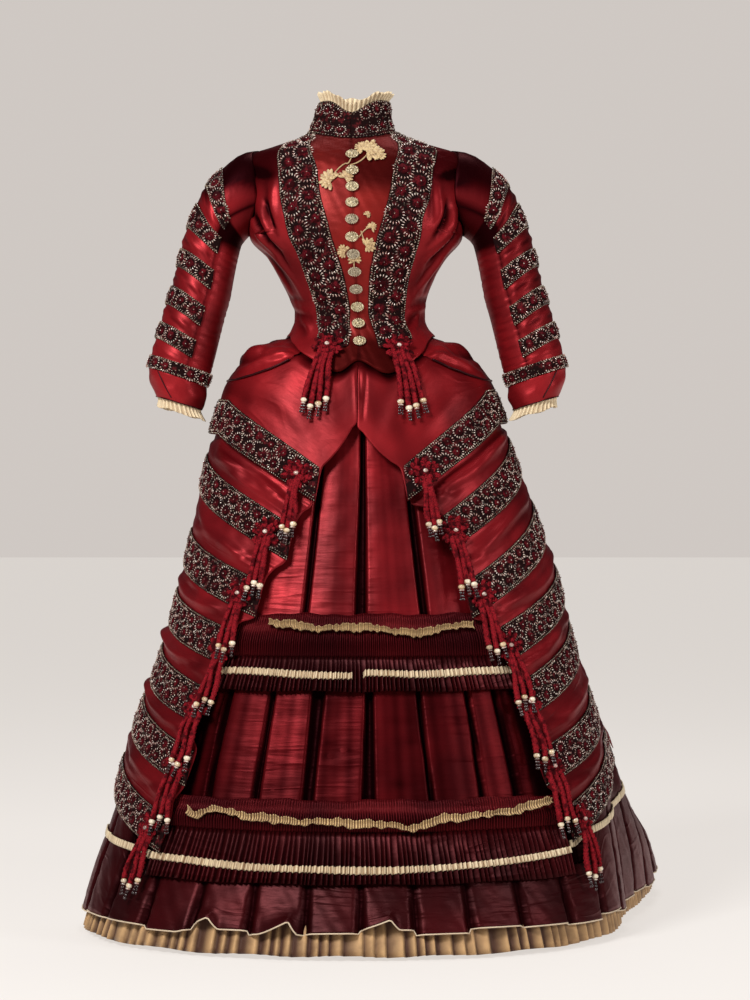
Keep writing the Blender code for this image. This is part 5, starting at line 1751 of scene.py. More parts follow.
        # Painted shade on the shoulder, over the left sleeve but its shoulder, and in the armpit.
        shoulder = ramp(cosine(turn), -0.2, 0.3) * ramp(body[..., 2] + HOLD_HEIGHT, *self.shoulder)
        shade += 1.05 * shoulder
        if self.side is Side.LEFT:
            shade += 0.26 - 0.34 * shoulder
        shade += 0.9 * (1 - ramp(facing, 0.0, 0.35)) * ramp(2.9 - place, 0.0, 1.2) * ramp(place, 0.5, 0.9)
        start = self.armhole(turn[:1], 0.0003)
        blend = ramp(down, 0.0, 0.05)[..., None]
        outer = mix(np.broadcast_to(start, body.shape), body, blend)
        bulge = 0.0065 * np.sin(np.pi * blend[..., 0]) * ramp(self.sign * sine(turn), 0.0, 0.8)
        outer[..., 2] += bulge
        lining = mix(np.broadcast_to(self.armhole(turn[:1], -0.0012), body.shape),
                     self.surface(place, drop, turn, out - self.thickness), blend)
        lining[..., 2] += bulge
        self.sheet("sleeve", outer, lining, shade, Finishes.SATIN, Held.DRAPED, "bodice_front")
        for number, (upper, lower, _) in enumerate(self.bands, start=1):
            around, share = grid_of(60, 9)
            turn = self.sign * mix(-self.seam_turn - 4, 180 - self.seam_turn - 2, around)
            place = mix(upper, lower, share)
            points = self.surface(place, self.drops(place), turn, np.full_like(turn, 0.0008))
            outward = points - self.middle(points)
            trim.sew(self.side.of("sleeve_band") + str(number), Strip(points, outward), self.pattern,
                     (self.side.of("sleeve"),))
        around, share = grid_of(109, 9)
        turn = self.sign * 360 * around[:-1]
        place = mix(*self.low_band, share[:-1])
        points = self.surface(place, 0 * place, turn, np.full_like(turn, 0.0006))
        trim.sew(self.side.of("sleeve_low_band"), Strip(points, points - points.mean(axis=(0, 1))),
                 self.low_pattern, (self.side.of("sleeve"),), True)
        self.cuff()

    def sheet(self, name: str, outer: Array, inner: Array, shade: Array, finish: Finishes,
              held: Held, on: str) -> None:
        """Make a cloth round the arm.

        Args:
            name: the piece's name without its side.
            outer: rows by columns by three.
            inner: the same for the inside.
            shade: rows by columns, how much painted shade each point takes.
            finish: what it is made of.
            held: how it is held; not used.
            on: what carries it; not used.
        """
        rows = outer.transpose(1, 0, 2)
        order = slice(None, None, -1 if Strip(rows, rows - self.middle(rows)).faces_back() else 1)
        piece = Workshop.shell(self.side.of(name), outer[:, order], inner[:, order], shade[:, order], True,
                               finish)
        Workshop.declare(piece, outer, True, held, (self.side.of(on),))

    def middle(self, points: Array) -> Array:
        """The arm's axis beside each point.

        Args:
            points: world positions.

        Returns:
            A position for each.
        """
        height = points[..., 2] + HOLD_HEIGHT
        rows = self.sections.values
        z = (rows[:, 1] + rows[:, 3])[::-1] / 2
        x = (rows[:, 0] + rows[:, 2])[::-1] / 2
        return np.stack([self.centre + self.sign * np.interp(height, z, x),
                         np.interp(height, z, rows[::-1, 4]), points[..., 2]], axis=-1)

    def cuff(self) -> None:
        """The turned-back cuff, its dark piped flap, and the cream ruffle inside it."""
        down, around = ring_of(24, 96)
        turn = 360 * around
        wrinkle = 0.0007 * np.sin(9 * down + 0.06 * turn) + 0.0005 * np.sin(0.13 * turn - 6 * down)
        outer = self.ring(self.cuffs(down * 2), turn, wrinkle)
        inner = self.ring(self.cuffs(down * 2), turn, wrinkle - self.thickness)
        # Painted shade on the cuff's inner side.
        shade = 0.35 * ramp(self.sign * -sine(turn), 0.2, 0.9)
        self.sheet("cuff", outer, inner, shade, Finishes.SATIN, Held.STRETCHED, "sleeve")
        pipes = Bundle()
        t = np.linspace(0, 1, 26)
        flap_turn = self.sign * mix(38.0, 14.0, t)
        pipes.put(tube(self.ring(self.cuffs(mix(0.05, 1.75, t)), flap_turn, 0.0006 + 0 * t), self.pipe, 5))
        t = np.linspace(0, 1, 90)
        edge_turn = self.sign * mix(14.0, 374.0, t)
        pipes.put(tube(self.ring(self.cuffs(1.97 + 0 * t), edge_turn, 0.0 * t), self.pipe, 5))
        pipes.piece(self.side.of("cuff_piping"), Finishes.PIPING)
        down, around = ring_of(9, 300)
        turn = 360 * around
        phase = uneven(turn / 360 * 30, 0.06, 2.0)
        wave = np.sin(2 * np.pi * phase)
        place = mix(1.4, 2.0, ramp(down, 0.0, 0.4))
        out = mix(-0.0031, 0.0008, ramp(down, 0.3, 1.0)) + 0.0030 * down * wave
        fall = ramp(down, 0.15, 1.0) * (1 + 0.10 * np.sin(0.09 * turn))
        drop = np.stack([-self.sign * 0.004 * fall, 0 * fall, -0.0165 * fall], axis=-1)
        outer = self.ring(self.cuffs(place), turn, out) + drop
        inner = self.ring(self.cuffs(place), turn, out - 0.0008) + drop
        # Painted shade in the ruffle's gathers.
        shade = 0.6 * (0.5 - 0.5 * wave) * (1 - 0.4 * down)
        self.sheet("cuff_ruffle", outer, inner, shade, Finishes.CREAM, Held.GATHERED, "cuff")


@dataclass
class Tassel:
    """A rosette of silk loops with twisted cords that end in a pale bead and dark tails."""

    scatter: ScatterTree
    seed: int = 100
    loops: Rows = ((11, 0.66, 0.0025, 0.36), (8, 0.40, 0.0052, 0.30), (4, 0.16, 0.0070, 0.2))

    def hang(self, name: str, angle: float, height: float, base: float, lengths: tuple[float, ...],
             gap: float, size: float, node: str = "", settle: float = 0.0) -> None:
        """Make one rosette and its cords.

        Args:
            name: what it belongs to.
            angle: where the rosette lies.
            height: of its middle.
            base: how far out its seat lies.
            lengths: of the cords.
            gap: degrees between them.
            size: the rosette's radius.
            node: the solid that it stands for.
            settle: how far the cords sink back to the cloth below the band.
        """
        self.seed += 1
        chance = np.random.default_rng(self.seed)
        middle = FORM.on(angle, height, np.asarray(base))
        normal, side, up = FORM.axes(angle, height)
        loops = Dots()
        for count, reach, lift, long in self.loops:
            turn = 2 * np.pi * np.arange(count) / count + chance.uniform(0, 1) + chance.normal(0, 0.1, count)
            spoke = spokes(turn, side, up)
            loops.put(middle + spoke * size * reach + normal * lift,
                      unit(spoke + normal * chance.uniform(-0.2, 0.5, count)[:, None]), normal,
                      (0.0022, size * 0.19, size * long))
        bead = Dots()
        bead.put(middle + normal * 0.0092, side, normal, (0.0030, 0.0034, 0.0040))
        rosette = self.scatter.sew(name + "_rosette", loops, Finishes.LOOPS, 7, 4, 0.15, self.seed)
        self.scatter.sew(name + "_rosette_bead", bead, Finishes.BEADS, 10, 6, 0.0, self.seed)
        if node:
            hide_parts(node)
        self.cords(name, angle, height, base, lengths, gap, chance, settle)

    def cords(self, name: str, angle: float, height: float, base: float, lengths: tuple[float, ...],
              gap: float, chance: np.random.Generator, settle: float) -> None:
        """The cords, their barrel beads and the bugle tails below them.

        Args:
            name: what they belong to.
            angle: where the rosette lies.
            height: of its middle.
            base: how far out its seat lies.
            lengths: of the cords.
            gap: degrees between them.
            chance: draws the uneven values.
            settle: how far the cords sink back to the cloth below the band.
        """
        cords, barrels, tails, rings = Bundle(), Dots(), Dots(), Dots()
        t = np.linspace(0, 1, 32)
        for k, length in enumerate(lengths):
            offset = (k - (len(lengths) - 1) / 2) * gap
            sway = chance.normal(0, 0.22, 2)
            a = mix(angle + offset * 0.9, angle + offset * 1.25, t)
            a += sway[0] * np.sin(np.pi * t) + sway[1] * np.sin(2 * np.pi * t)
            h = height - 0.006 - (length - 0.018) * t
            out = mix(base + 0.003, base + 0.010, ramp(t, 0.0, 0.45)) - settle * ramp(t, 0.30, 0.75)
            path = FORM.on(a, h, out)
            radius = 0.0044 * (1 + 0.10 * np.sin(9 * t + k))
            cords.put(tube(path, radius, 6, length / 0.016, 2))
            down = unit(path[-1] - path[-3])
            normal = FORM.normal(a[-1], h[-1])
            barrels.put(path[-1] + down * 0.0036, down, normal, (0.0048, 0.0056, 0.0042))
            rings.put(path[-1] + down * 0.0090, down, normal, (0.0040, 0.0046, 0.0013))
            for strand in range(8):
                lean = unit(down + 0.07 * chance.normal(size=3))
                aside = np.cross(down, normal) * chance.uniform(-0.003, 0.003)
                first = path[-1] + down * 0.0095 + lean * 0.0040 + aside
                places = first + lean * np.array([[0.0], [0.0050], [0.0100]])
                tails.put(places, lean, normal, (0.0012, 0.0012, 0.0030))
        cords.piece(name + "_cords", Finishes.CORD)
        self.scatter.sew(name + "_barrels", barrels, Finishes.BARREL, 10, 6, 0.05, self.seed)
        self.scatter.sew(name + "_rings", rings, Finishes.BEADS, 8, 4, 0.05, self.seed)
        self.scatter.sew(name + "_tails", tails, Finishes.TAILS, 5, 2, 0.1, self.seed)


@dataclass(frozen=True)
class Band:
    """Where a beaded skirt band runs.

    Attributes:
        angle: of its front end.
        height: of its middle line there.
        rise: metres for each degree towards the side.
        rosette: angle of its rosette.
        first: whether it edges the polonaise.
    """

    angle: float
    height: float
    rise: float
    rosette: float
    first: bool = False

    def line(self, angle: Array) -> Array:
        """Height of the middle line.

        Args:
            angle: degrees from the centre front, on either side.

        Returns:
            The heights.
        """
        limit, flat = (74.0, 0.1) if self.first else (84.0, 0.3)
        reach = np.where(angle < limit, angle, limit + flat * (angle - limit))
        return self.height + self.rise * (reach - self.angle)


SKIRT_BANDS = {
    Side.RIGHT: (Band(22.0, 0.722, 0.00213, 32.0, True), Band(30.0, 0.630, 0.00213, 40.5),
                 Band(38.0, 0.541, 0.00180, 46.0), Band(46.0, 0.466, 0.00160, 48.0),
                 Band(49.0, 0.373, 0.00180, 51.0), Band(48.0, 0.277, 0.00220, 52.5),
                 Band(51.0, 0.174, 0.00240, 56.5)),
    Side.LEFT: (Band(22.0, 0.724, 0.00240, 31.5, True), Band(36.0, 0.645, 0.00260, 39.5),
                Band(39.0, 0.538, 0.00280, 44.5), Band(47.0, 0.467, 0.00244, 49.5),
                Band(49.0, 0.380, 0.00250, 51.0), Band(50.0, 0.277, 0.00220, 53.5),
                Band(55.0, 0.188, 0.00280, 59.5)),
}


@dataclass
class Overskirt:
    """One draped side: the polonaise front, the overskirt puffed between its bands, and the hip drape."""

    side: Side
    scatter: ScatterTree
    trim: BeadedTrim
    band_half: float = 0.028
    polonaise_out: float = 0.0062
    cord_settle: float = 0.0075
    side_seam: float = 106.0
    hip_line: Curve = pair_curve(((40, 0.942), (47, 0.935), (60, 0.914), (77, 0.900), (106, 0.898)))
    polonaise_rows: Rows = ((-1.0, 0.0), (0.0, 0.0), (0.07, 0.0), (0.14, 0.0), (0.28, 0.0), (0.46, 0.0),
                            (0.53, 0.15), (0.62, 0.32), (0.73, 0.52), (0.86, 0.74), (1.0, 0.93), (2.0, 1.0))
    hip_rows: Rows = ((-1.0, 0.0), (0.0, 0.0), (0.25, 0.0), (0.5, 0.003), (0.75, -0.001), (1.0, 0.001))
    pattern: TrimPattern = TrimPattern(pitch=0.0272, radius=0.0132, beads=16, bead=(0.0010, 0.0011, 0.0023),
                                       edge=(0.0010, 0.0012, 0.0017), edge_pitch=0.0040, thickness=0.0022)
    cord_lengths: Rows = ((0.098, 0.090, 0.094), (0.092, 0.098, 0.088))
    polonaise_folds: Rows = (
        (3.0, 0.905, 1.0, 0.830, -0.0024, 0.0034, 0.0), (30.0, 0.900, 14.0, 0.800, 0.0016, 0.0160, 0.004),
        (60.0, 0.885, 30.0, 0.800, 0.0022, 0.0140, 0.006), (78.0, 0.850, 45.0, 0.800, 0.0026, 0.0140, 0.008),
        (84.0, 0.880, 60.0, 0.850, -0.0020, 0.0110, 0.004),
    )
    swag_rows: Rows = ((2.0, 26.0, 0.30, 0.0042, 0.0110), (10.0, 40.0, -0.05, -0.0036, 0.0080),
                       (18.0, 50.0, 0.10, 0.0050, 0.0120), (4.0, 18.0, -0.30, -0.0030, 0.0070),
                       (30.0, 58.0, -0.25, 0.0040, 0.0100), (34.0, 56.0, 0.32, -0.0034, 0.0090))
    hip_folds: Rows = (
        (58.0, 0.944, 90.0, 0.935, 0.0036, 0.0060, 0.002), (62.0, 0.930, 98.0, 0.915, -0.0030, 0.0050, 0.002),
        (70.0, 0.955, 100.0, 0.948, -0.0026, 0.0050, 0.0), (56.0, 0.932, 78.0, 0.905, 0.0030, 0.0055, -0.002),
        (76.0, 0.958, 84.0, 0.905, 0.0030, 0.0090, 0.004), (66.0, 0.958, 70.0, 0.925, -0.0022, 0.0060, 0.0),
    )

    def __post_init__(self) -> None:
        """Start the tassels."""
        self.sign = self.side.sign
        self.tassel = Tassel(self.scatter)

    def build(self) -> None:
        """Make the pieces of one side."""
        self.polonaise()
        self.hip_drape()
        self.panel()
        for number, band in enumerate(SKIRT_BANDS[self.side], start=1):
            self.band(number, band)

    def tuck(self, angle: Array) -> Array:
        """How deep the top of a layer lies under the basque and the hip drape."""
        return mix(-0.0040, -0.0080, ramp(np.abs(angle), 42.0, 50.0))

    def polonaise(self) -> None:
        """The front that parts below the basque."""
        sign, band = self.sign, SKIRT_BANDS[self.side][0]
        share, opening = (column[:, None] for column in np.array(self.polonaise_rows).T)
        across = np.linspace(0, 1, 96)[None]
        edge = mix(-2.8, sign * band.angle, opening) + sign * 0.1
        angle = mix(edge, sign * (self.side_seam - 0.1), across ** 1.1)
        under_hip = ramp(np.abs(angle), 42.0, 52.0)
        cover = mix(BODICE.basque_line(angle), self.hip_line(np.abs(angle)), under_hip)
        upper = cover + mix(0.012, 0.008, under_hip)
        line = band.line(sign * angle)
        height = np.where(share < 0, upper, mix(cover + 0.004 * under_hip, line + self.band_half, share))
        height = np.where(share > 1, line - self.band_half, height)
        clear = ramp(cover + mix(0.0, 0.012, under_hip) - height, 0.0, 0.018)
        out = mix(self.tuck(angle), self.polonaise_out, clear)
        rows = Patch(angle, height, out).refined(86, 76)
        cover = rows.height * 0 + np.linspace(0, 1, 86)[:, None]
        free = ramp(cover, 0.12, 0.23) * ramp(0.91 - cover, 0.0, 0.17)
        # The folds' troughs take painted shade, here and in the left's extra fold below.
        rows.folded(creases_of(sign, self.polonaise_folds), 80.0, free)
        rows.out += 0.0030 * ramp(np.abs(rows.angle), 50.0, 84.0) * hump(rows.height, 0.885, 0.016)
        # Painted shade under the basque and towards the side.
        rows.shade += 0.75 * (1 - ramp(cover, 0.09, 0.29)) + 0.6 * ramp(np.abs(rows.angle), 70.0, 90.0)
        # Painted shade over the whole front, mottled.
        uneven_painted_shade = np.sin(0.31 * rows.angle + 40 * rows.height)
        uneven_painted_shade *= np.sin(0.13 * rows.angle - 25 * rows.height)
        rows.shade += 0.24 + 0.18 * uneven_painted_shade
        if self.side is Side.LEFT:
            rows.folded((Crease((-1.5, 0.9), (0.5, 0.83), -0.0022, 0.0030),), 120.0, free)
        self.drape("polonaise", rows, Finishes.SATIN, self.side.of("overskirt"))

    def drape(self, name: str, patch: Patch, finish: Finishes, on: str) -> None:
        """Make one draped cloth of this side."""
        Workshop.cloth(self.side.of(name), patch, finish, Held.DRAPED, (on,))

    def hip_drape(self) -> None:
        """The crumpled drape round the hip, with a dark cord along its lower edge."""
        share, fold = (column[:, None] for column in np.array(self.hip_rows).T)
        across = np.linspace(0, 1, 80)[None]
        angle = self.sign * mix(50.0, self.side_seam - 0.1, across)
        upper = BODICE.basque_line(angle)
        lower = self.hip_line(np.abs(angle)) - 0.008
        height = np.where(share < 0, upper + 0.005, mix(upper, lower, share))
        free = 0.0086 + 0.0022 * (1 - np.maximum(share, 0)) + fold
        out = mix(-0.0040, free, ramp(upper - height, 0.0, 0.022))
        rows = Patch(angle, height, out).refined(54, 64)
        down = np.linspace(0, 1, 54)[:, None]
        free = ramp(down, 0.2, 0.4) * ramp(1.0 - down, 0.0, 0.12)
        # The folds' troughs take painted shade.
        rows.folded(creases_of(self.sign, self.hip_folds), 90.0, free)
        rows.rippled(0.0005, 0.03, 4.0)
        # Painted shade under the basque and towards the side seam.
        rows.shade += 0.6 * (1 - ramp(down, 0.2, 0.36)) + 0.8 * ramp(np.abs(rows.angle), 66, 88)
        self.drape("hip_drape", rows, Finishes.SATIN, self.side.of("polonaise"))
        pipe = Bundle()
        pipe.put(tube(rows.points()[-1], 0.0016))
        pipe.piece(self.side.of("hip_piping"), Finishes.PIPING)

    def panel(self) -> None:
        """The long draped side, crossed by the bands."""
        bands = SKIRT_BANDS[self.side]
        half = self.band_half
        knots = [(0.0, 0, 24.0, 0.0), (-half - 0.005, 0, 24.0, 0.0)]
        for k in range(1, 7):
            knots.append((None, k, (bands[k - 1].angle + bands[k].angle) / 2 + 1.5, 1.0))
            knots += [(half, k, bands[k].angle, 0.0), (-half, k, bands[k].angle + 1.2, 0.0)]
        share = np.linspace(0, 1, 110)
        angle, height, out, free = (np.zeros((len(knots), 110)) for _ in range(4))
        for n, (rise, k, start, puff) in enumerate(knots):
            angle[n] = mix(start, self.side_seam - 0.1, share)
            line = bands[k].line(angle[n])
            height[n] = (bands[k - 1].line(angle[n]) + line) / 2 if rise is None else line + rise
            swell = mix(0.30, 1.0, np.sin(np.pi * np.minimum(share * 1.4, 1.0) ** 0.8))
            fold = 1.0 + 0.45 * np.sin(2.1 * 9 * share + 1.9 * n)
            out[n] = puff * 0.0042 * swell * fold if k else -0.0035
            free[n] = puff
        rows = Patch(self.sign * angle, height, out, False, free).refined(150, 72)
        free, rows.shade = rows.shade, np.zeros_like(rows.shade)
        folds = []
        for k in range(1, 7):
            folds += self.swags(bands[k - 1], bands[k], k)
        # The swags' troughs take painted shade.
        rows.folded(creases_of(self.sign, tuple(folds)), 55.0, free ** 0.7)
        rows.rippled(0.0004, 0.05, 3.0)
        # Painted shade towards the side seam and towards the bottom.
        rows.shade += 0.5 * ramp(np.abs(rows.angle), 80.0, 104.0)
        rows.shade += 0.35 * ramp(0.55 - rows.height, 0.0, 0.35)
        self.drape("overskirt", rows, Finishes.SKIRT_SATIN, "underskirt_front")

    def swags(self, above: Band, below: Band, number: int) -> list[tuple[float, ...]]:
        """Soft folds that fan out over one puff, from the side down to the front edge.

        Args:
            above: the band over the puff.
            below: the band under it.
            number: of the puff.

        Returns:
            Rows of numbers for creases_of.
        """
        made = []
        half = self.band_half
        start = (above.angle + below.angle) / 2
        for k, (a, b, lean, depth, width) in enumerate(self.swag_rows):
            middle = 0.5 + 0.16 * math.sin(2.3 * number + 1.7 * k)
            one, two = start + a, min(start + b, 104.0)
            gap = [above.line(x) - below.line(x) - 2 * half for x in (one, two)]
            heights = [below.line(x) + half + g * min(max(middle + s * lean, 0.08), 0.92)
                       for x, g, s in zip((one, two), gap, (-1.0, 1.0))]
            made.append((one, heights[0], two, heights[1], depth, width, 0.006 * math.sin(3.1 * k + number)))
        return made

    def band(self, number: int, band: Band) -> None:
        """Sew a band, its rosette and its cords.

        Args:
            number: of the band, from 1 at the top.
            band: where it runs.
        """
        along, share = grid_of(100, 7)
        angle = mix(band.angle + (0.1 if band.first else 0.6), self.side_seam - 0.4, along)
        height = band.line(angle) + mix(self.band_half, -self.band_half, share)
        base = self.polonaise_out if band.first else 0.0
        points = FORM.on(self.sign * angle, height, np.full_like(angle, base + 0.0011))
        name = self.side.of("skirt_band") + str(number)
        under = self.side.of("polonaise" if band.first else "overskirt")
        self.trim.sew(name, Strip(points, FORM.normal(self.sign * angle, height)), self.pattern, (under,))
        height = float(band.line(np.float64(band.rosette))) - 0.005
        self.tassel.hang(name, self.sign * band.rosette, height, base + 0.0028, self.cord_lengths[number % 2],
                         1.75, 0.0262, settle=self.cord_settle if band.first else 0.0)


@dataclass(frozen=True)
class Back:
    """What shows behind: the bustle's swags and the plain back of the underskirt."""

    shares: tuple[float, ...] = (-1.0, 0.0, 0.03, 0.08, 0.16, 0.27, 0.38, 0.49, 0.60, 0.73, 0.86, 1.0)

    def build(self) -> None:
        """Make both pieces."""
        c = np.linspace(0, 14, 150)[None]
        share = np.array(self.shares)[:, None]
        r = np.arange(len(self.shares))[:, None]
        angle = mix(106.1, 253.9, c / 14) + 0 * share
        across = np.sin(np.pi * c / 14)
        zigzag = np.cos(c * np.pi)
        lower = 0.300 - 0.050 * across + 0.018 * zigzag
        upper = BODICE.basque_line(angle)
        height = np.where(share < 0, upper + 0.005, mix(upper, lower, share))
        height = height - 0.035 * across * np.sin(np.pi * np.maximum(share, 0))
        swag = 0.014 * np.sin(r * 1.9) + 0.004 * zigzag
        free = 0.020 * across + swag * np.minimum(across * 2.0, 1.0)
        out = mix(-0.0040, free, ramp(upper - height, 0.0, 0.028))
        drape = Patch(angle, height, out).refined(96, 96)
        # Painted shade in the hollows between the swags.
        bend = np.gradient(np.gradient(drape.out, axis=0), axis=0)
        drape.shade += np.clip(2600 * bend, 0, 0.45)
        drape.rippled(0.0007, 0.055, 1.0, 1.2)
        Workshop.cloth("bustle_drape", drape, Finishes.SKIRT_SATIN, Held.DRAPED, ("back_skirt",))
        down, across = grid_of(30, 140)
        height = mix(Underskirt.top, Underskirt.foot, down)
        angle = mix(75.05, 284.95, across)
        folds = 0.0030 * ramp(0.9 - height, 0.0, 0.4) * np.sin(np.radians(angle) * 24 + np.sin(9 * height))
        skirt = Patch(angle, height, Underskirt.tuck(height) - 0.002 + folds)
        Workshop.cloth("back_skirt", skirt, Finishes.HEM_SATIN, Held.HUNG)


@dataclass(frozen=True)
class Underskirt:
    """The underskirt's front: broad box pleats that open into gaps painted dark as shade."""

    tuck: Curve = pair_curve(((0.840, -0.0145), (0.905, -0.0135), (0.945, -0.0110), (0.966, -0.0088),
                              (0.978, -0.0072), (0.990, -0.0029)))
    upper_gaps: Rows = ((-44.0, 1.6), (-22.6, 1.7), (0.3, 2.7), (24.9, 2.1), (46.0, 1.6), (-58.0, 1.5),
                        (60.0, 1.5))
    lower_gaps: Rows = ((-57.0, 1.5), (-43.0, 1.3), (-29.2, 1.0), (-15.0, 2.6), (2.7, 2.1), (19.9, 1.0),
                        (34.6, 1.3), (43.1, 1.2), (57.0, 1.5))
    top: float = 0.990
    foot: float = 0.055
    split: float = 0.465
    creases: Rows = (
        (-34.0, 0.40, -22.0, 0.392, 0.0016, 0.004, 0.001), (-35.0, 0.376, -23.0, 0.368, -0.0014, 0.0035, 0.0),
        (-16.0, 0.345, -1.0, 0.322, 0.0022, 0.005, 0.002), (-15.0, 0.312, 0.0, 0.296, -0.0014, 0.0045, 0.0),
        (-15.0, 0.372, -2.0, 0.378, 0.0012, 0.0035, 0.0), (6.0, 0.372, 19.0, 0.366, 0.0014, 0.004, 0.001),
        (6.0, 0.318, 19.0, 0.330, -0.0012, 0.004, 0.0), (25.0, 0.362, 38.0, 0.372, 0.0014, 0.004, 0.0),
        (-35.0, 0.270, -23.0, 0.262, 0.0014, 0.004, 0.0), (6.0, 0.268, 16.0, 0.280, 0.0018, 0.005, 0.0),
        (-16.0, 0.640, -2.0, 0.632, 0.0014, 0.004, 0.0), (-16.0, 0.600, -1.0, 0.590, -0.0014, 0.004, 0.0),
        (6.0, 0.655, 18.0, 0.650, 0.0014, 0.004, 0.0), (7.0, 0.585, 19.0, 0.578, 0.0016, 0.004, 0.0),
        (-36.0, 0.590, -23.0, 0.583, 0.0014, 0.004, 0.0), (-15.0, 0.560, 0.0, 0.552, 0.0012, 0.004, 0.0),
    )

    def build(self) -> None:
        """Make the front."""
        down, across = grid_of(90, 262)
        height = mix(self.top, self.foot, down)
        angle = mix(-74.95, 74.95, across)
        opened = ramp(0.93 - height, 0.0, 0.10)
        out = self.tuck(height) + 0 * angle
        gap = np.zeros_like(out)
        for rows, gaps in ((height >= self.split, self.upper_gaps), (height < self.split, self.lower_gaps)):
            for middle, half in gaps:
                bend = middle + 0.6 * np.sin(9 * height + middle)
                wide = half * (1 + 0.18 * np.sin(13 * height + 2 * middle))
                gap += rows * (1 - ramp(np.abs(angle - bend), wide * 0.30, wide * 0.95))
        out = out - 0.013 * gap * opened
        lip = 0.0012 * np.sin(np.radians(angle * 17 + 40 * np.sin(7 * height)))
        out += lip * (1 - np.clip(gap, 0, 1)) * opened
        # The opened gaps are painted dark as shade; the creases' troughs take painted shade too.
        patch = Patch(angle, height, out, False, 1.0 * np.clip(gap * 1.6, 0, 1) * opened)
        patch.folded(creases_of(1, self.creases), 120.0, np.clip(1 - gap * 2, 0, 1))
        patch.rippled(0.0004, 0.035, 6.0, 2.0)
        # Painted shade towards the sides and the bottom, a little uneven over the panels.
        patch.shade += 0.75 * ramp(np.abs(angle), 40.0, 60.0) + 0.08 + 0.60 * ramp(0.50 - height, 0.0, 0.06)
        patch.shade += 0.14 * np.sin(1.3 * angle + 3) * np.sin(0.37 * angle) * (1 - np.clip(gap, 0, 1))
        Workshop.cloth("underskirt_front", patch, Finishes.SKIRT_SATIN, Held.HUNG)


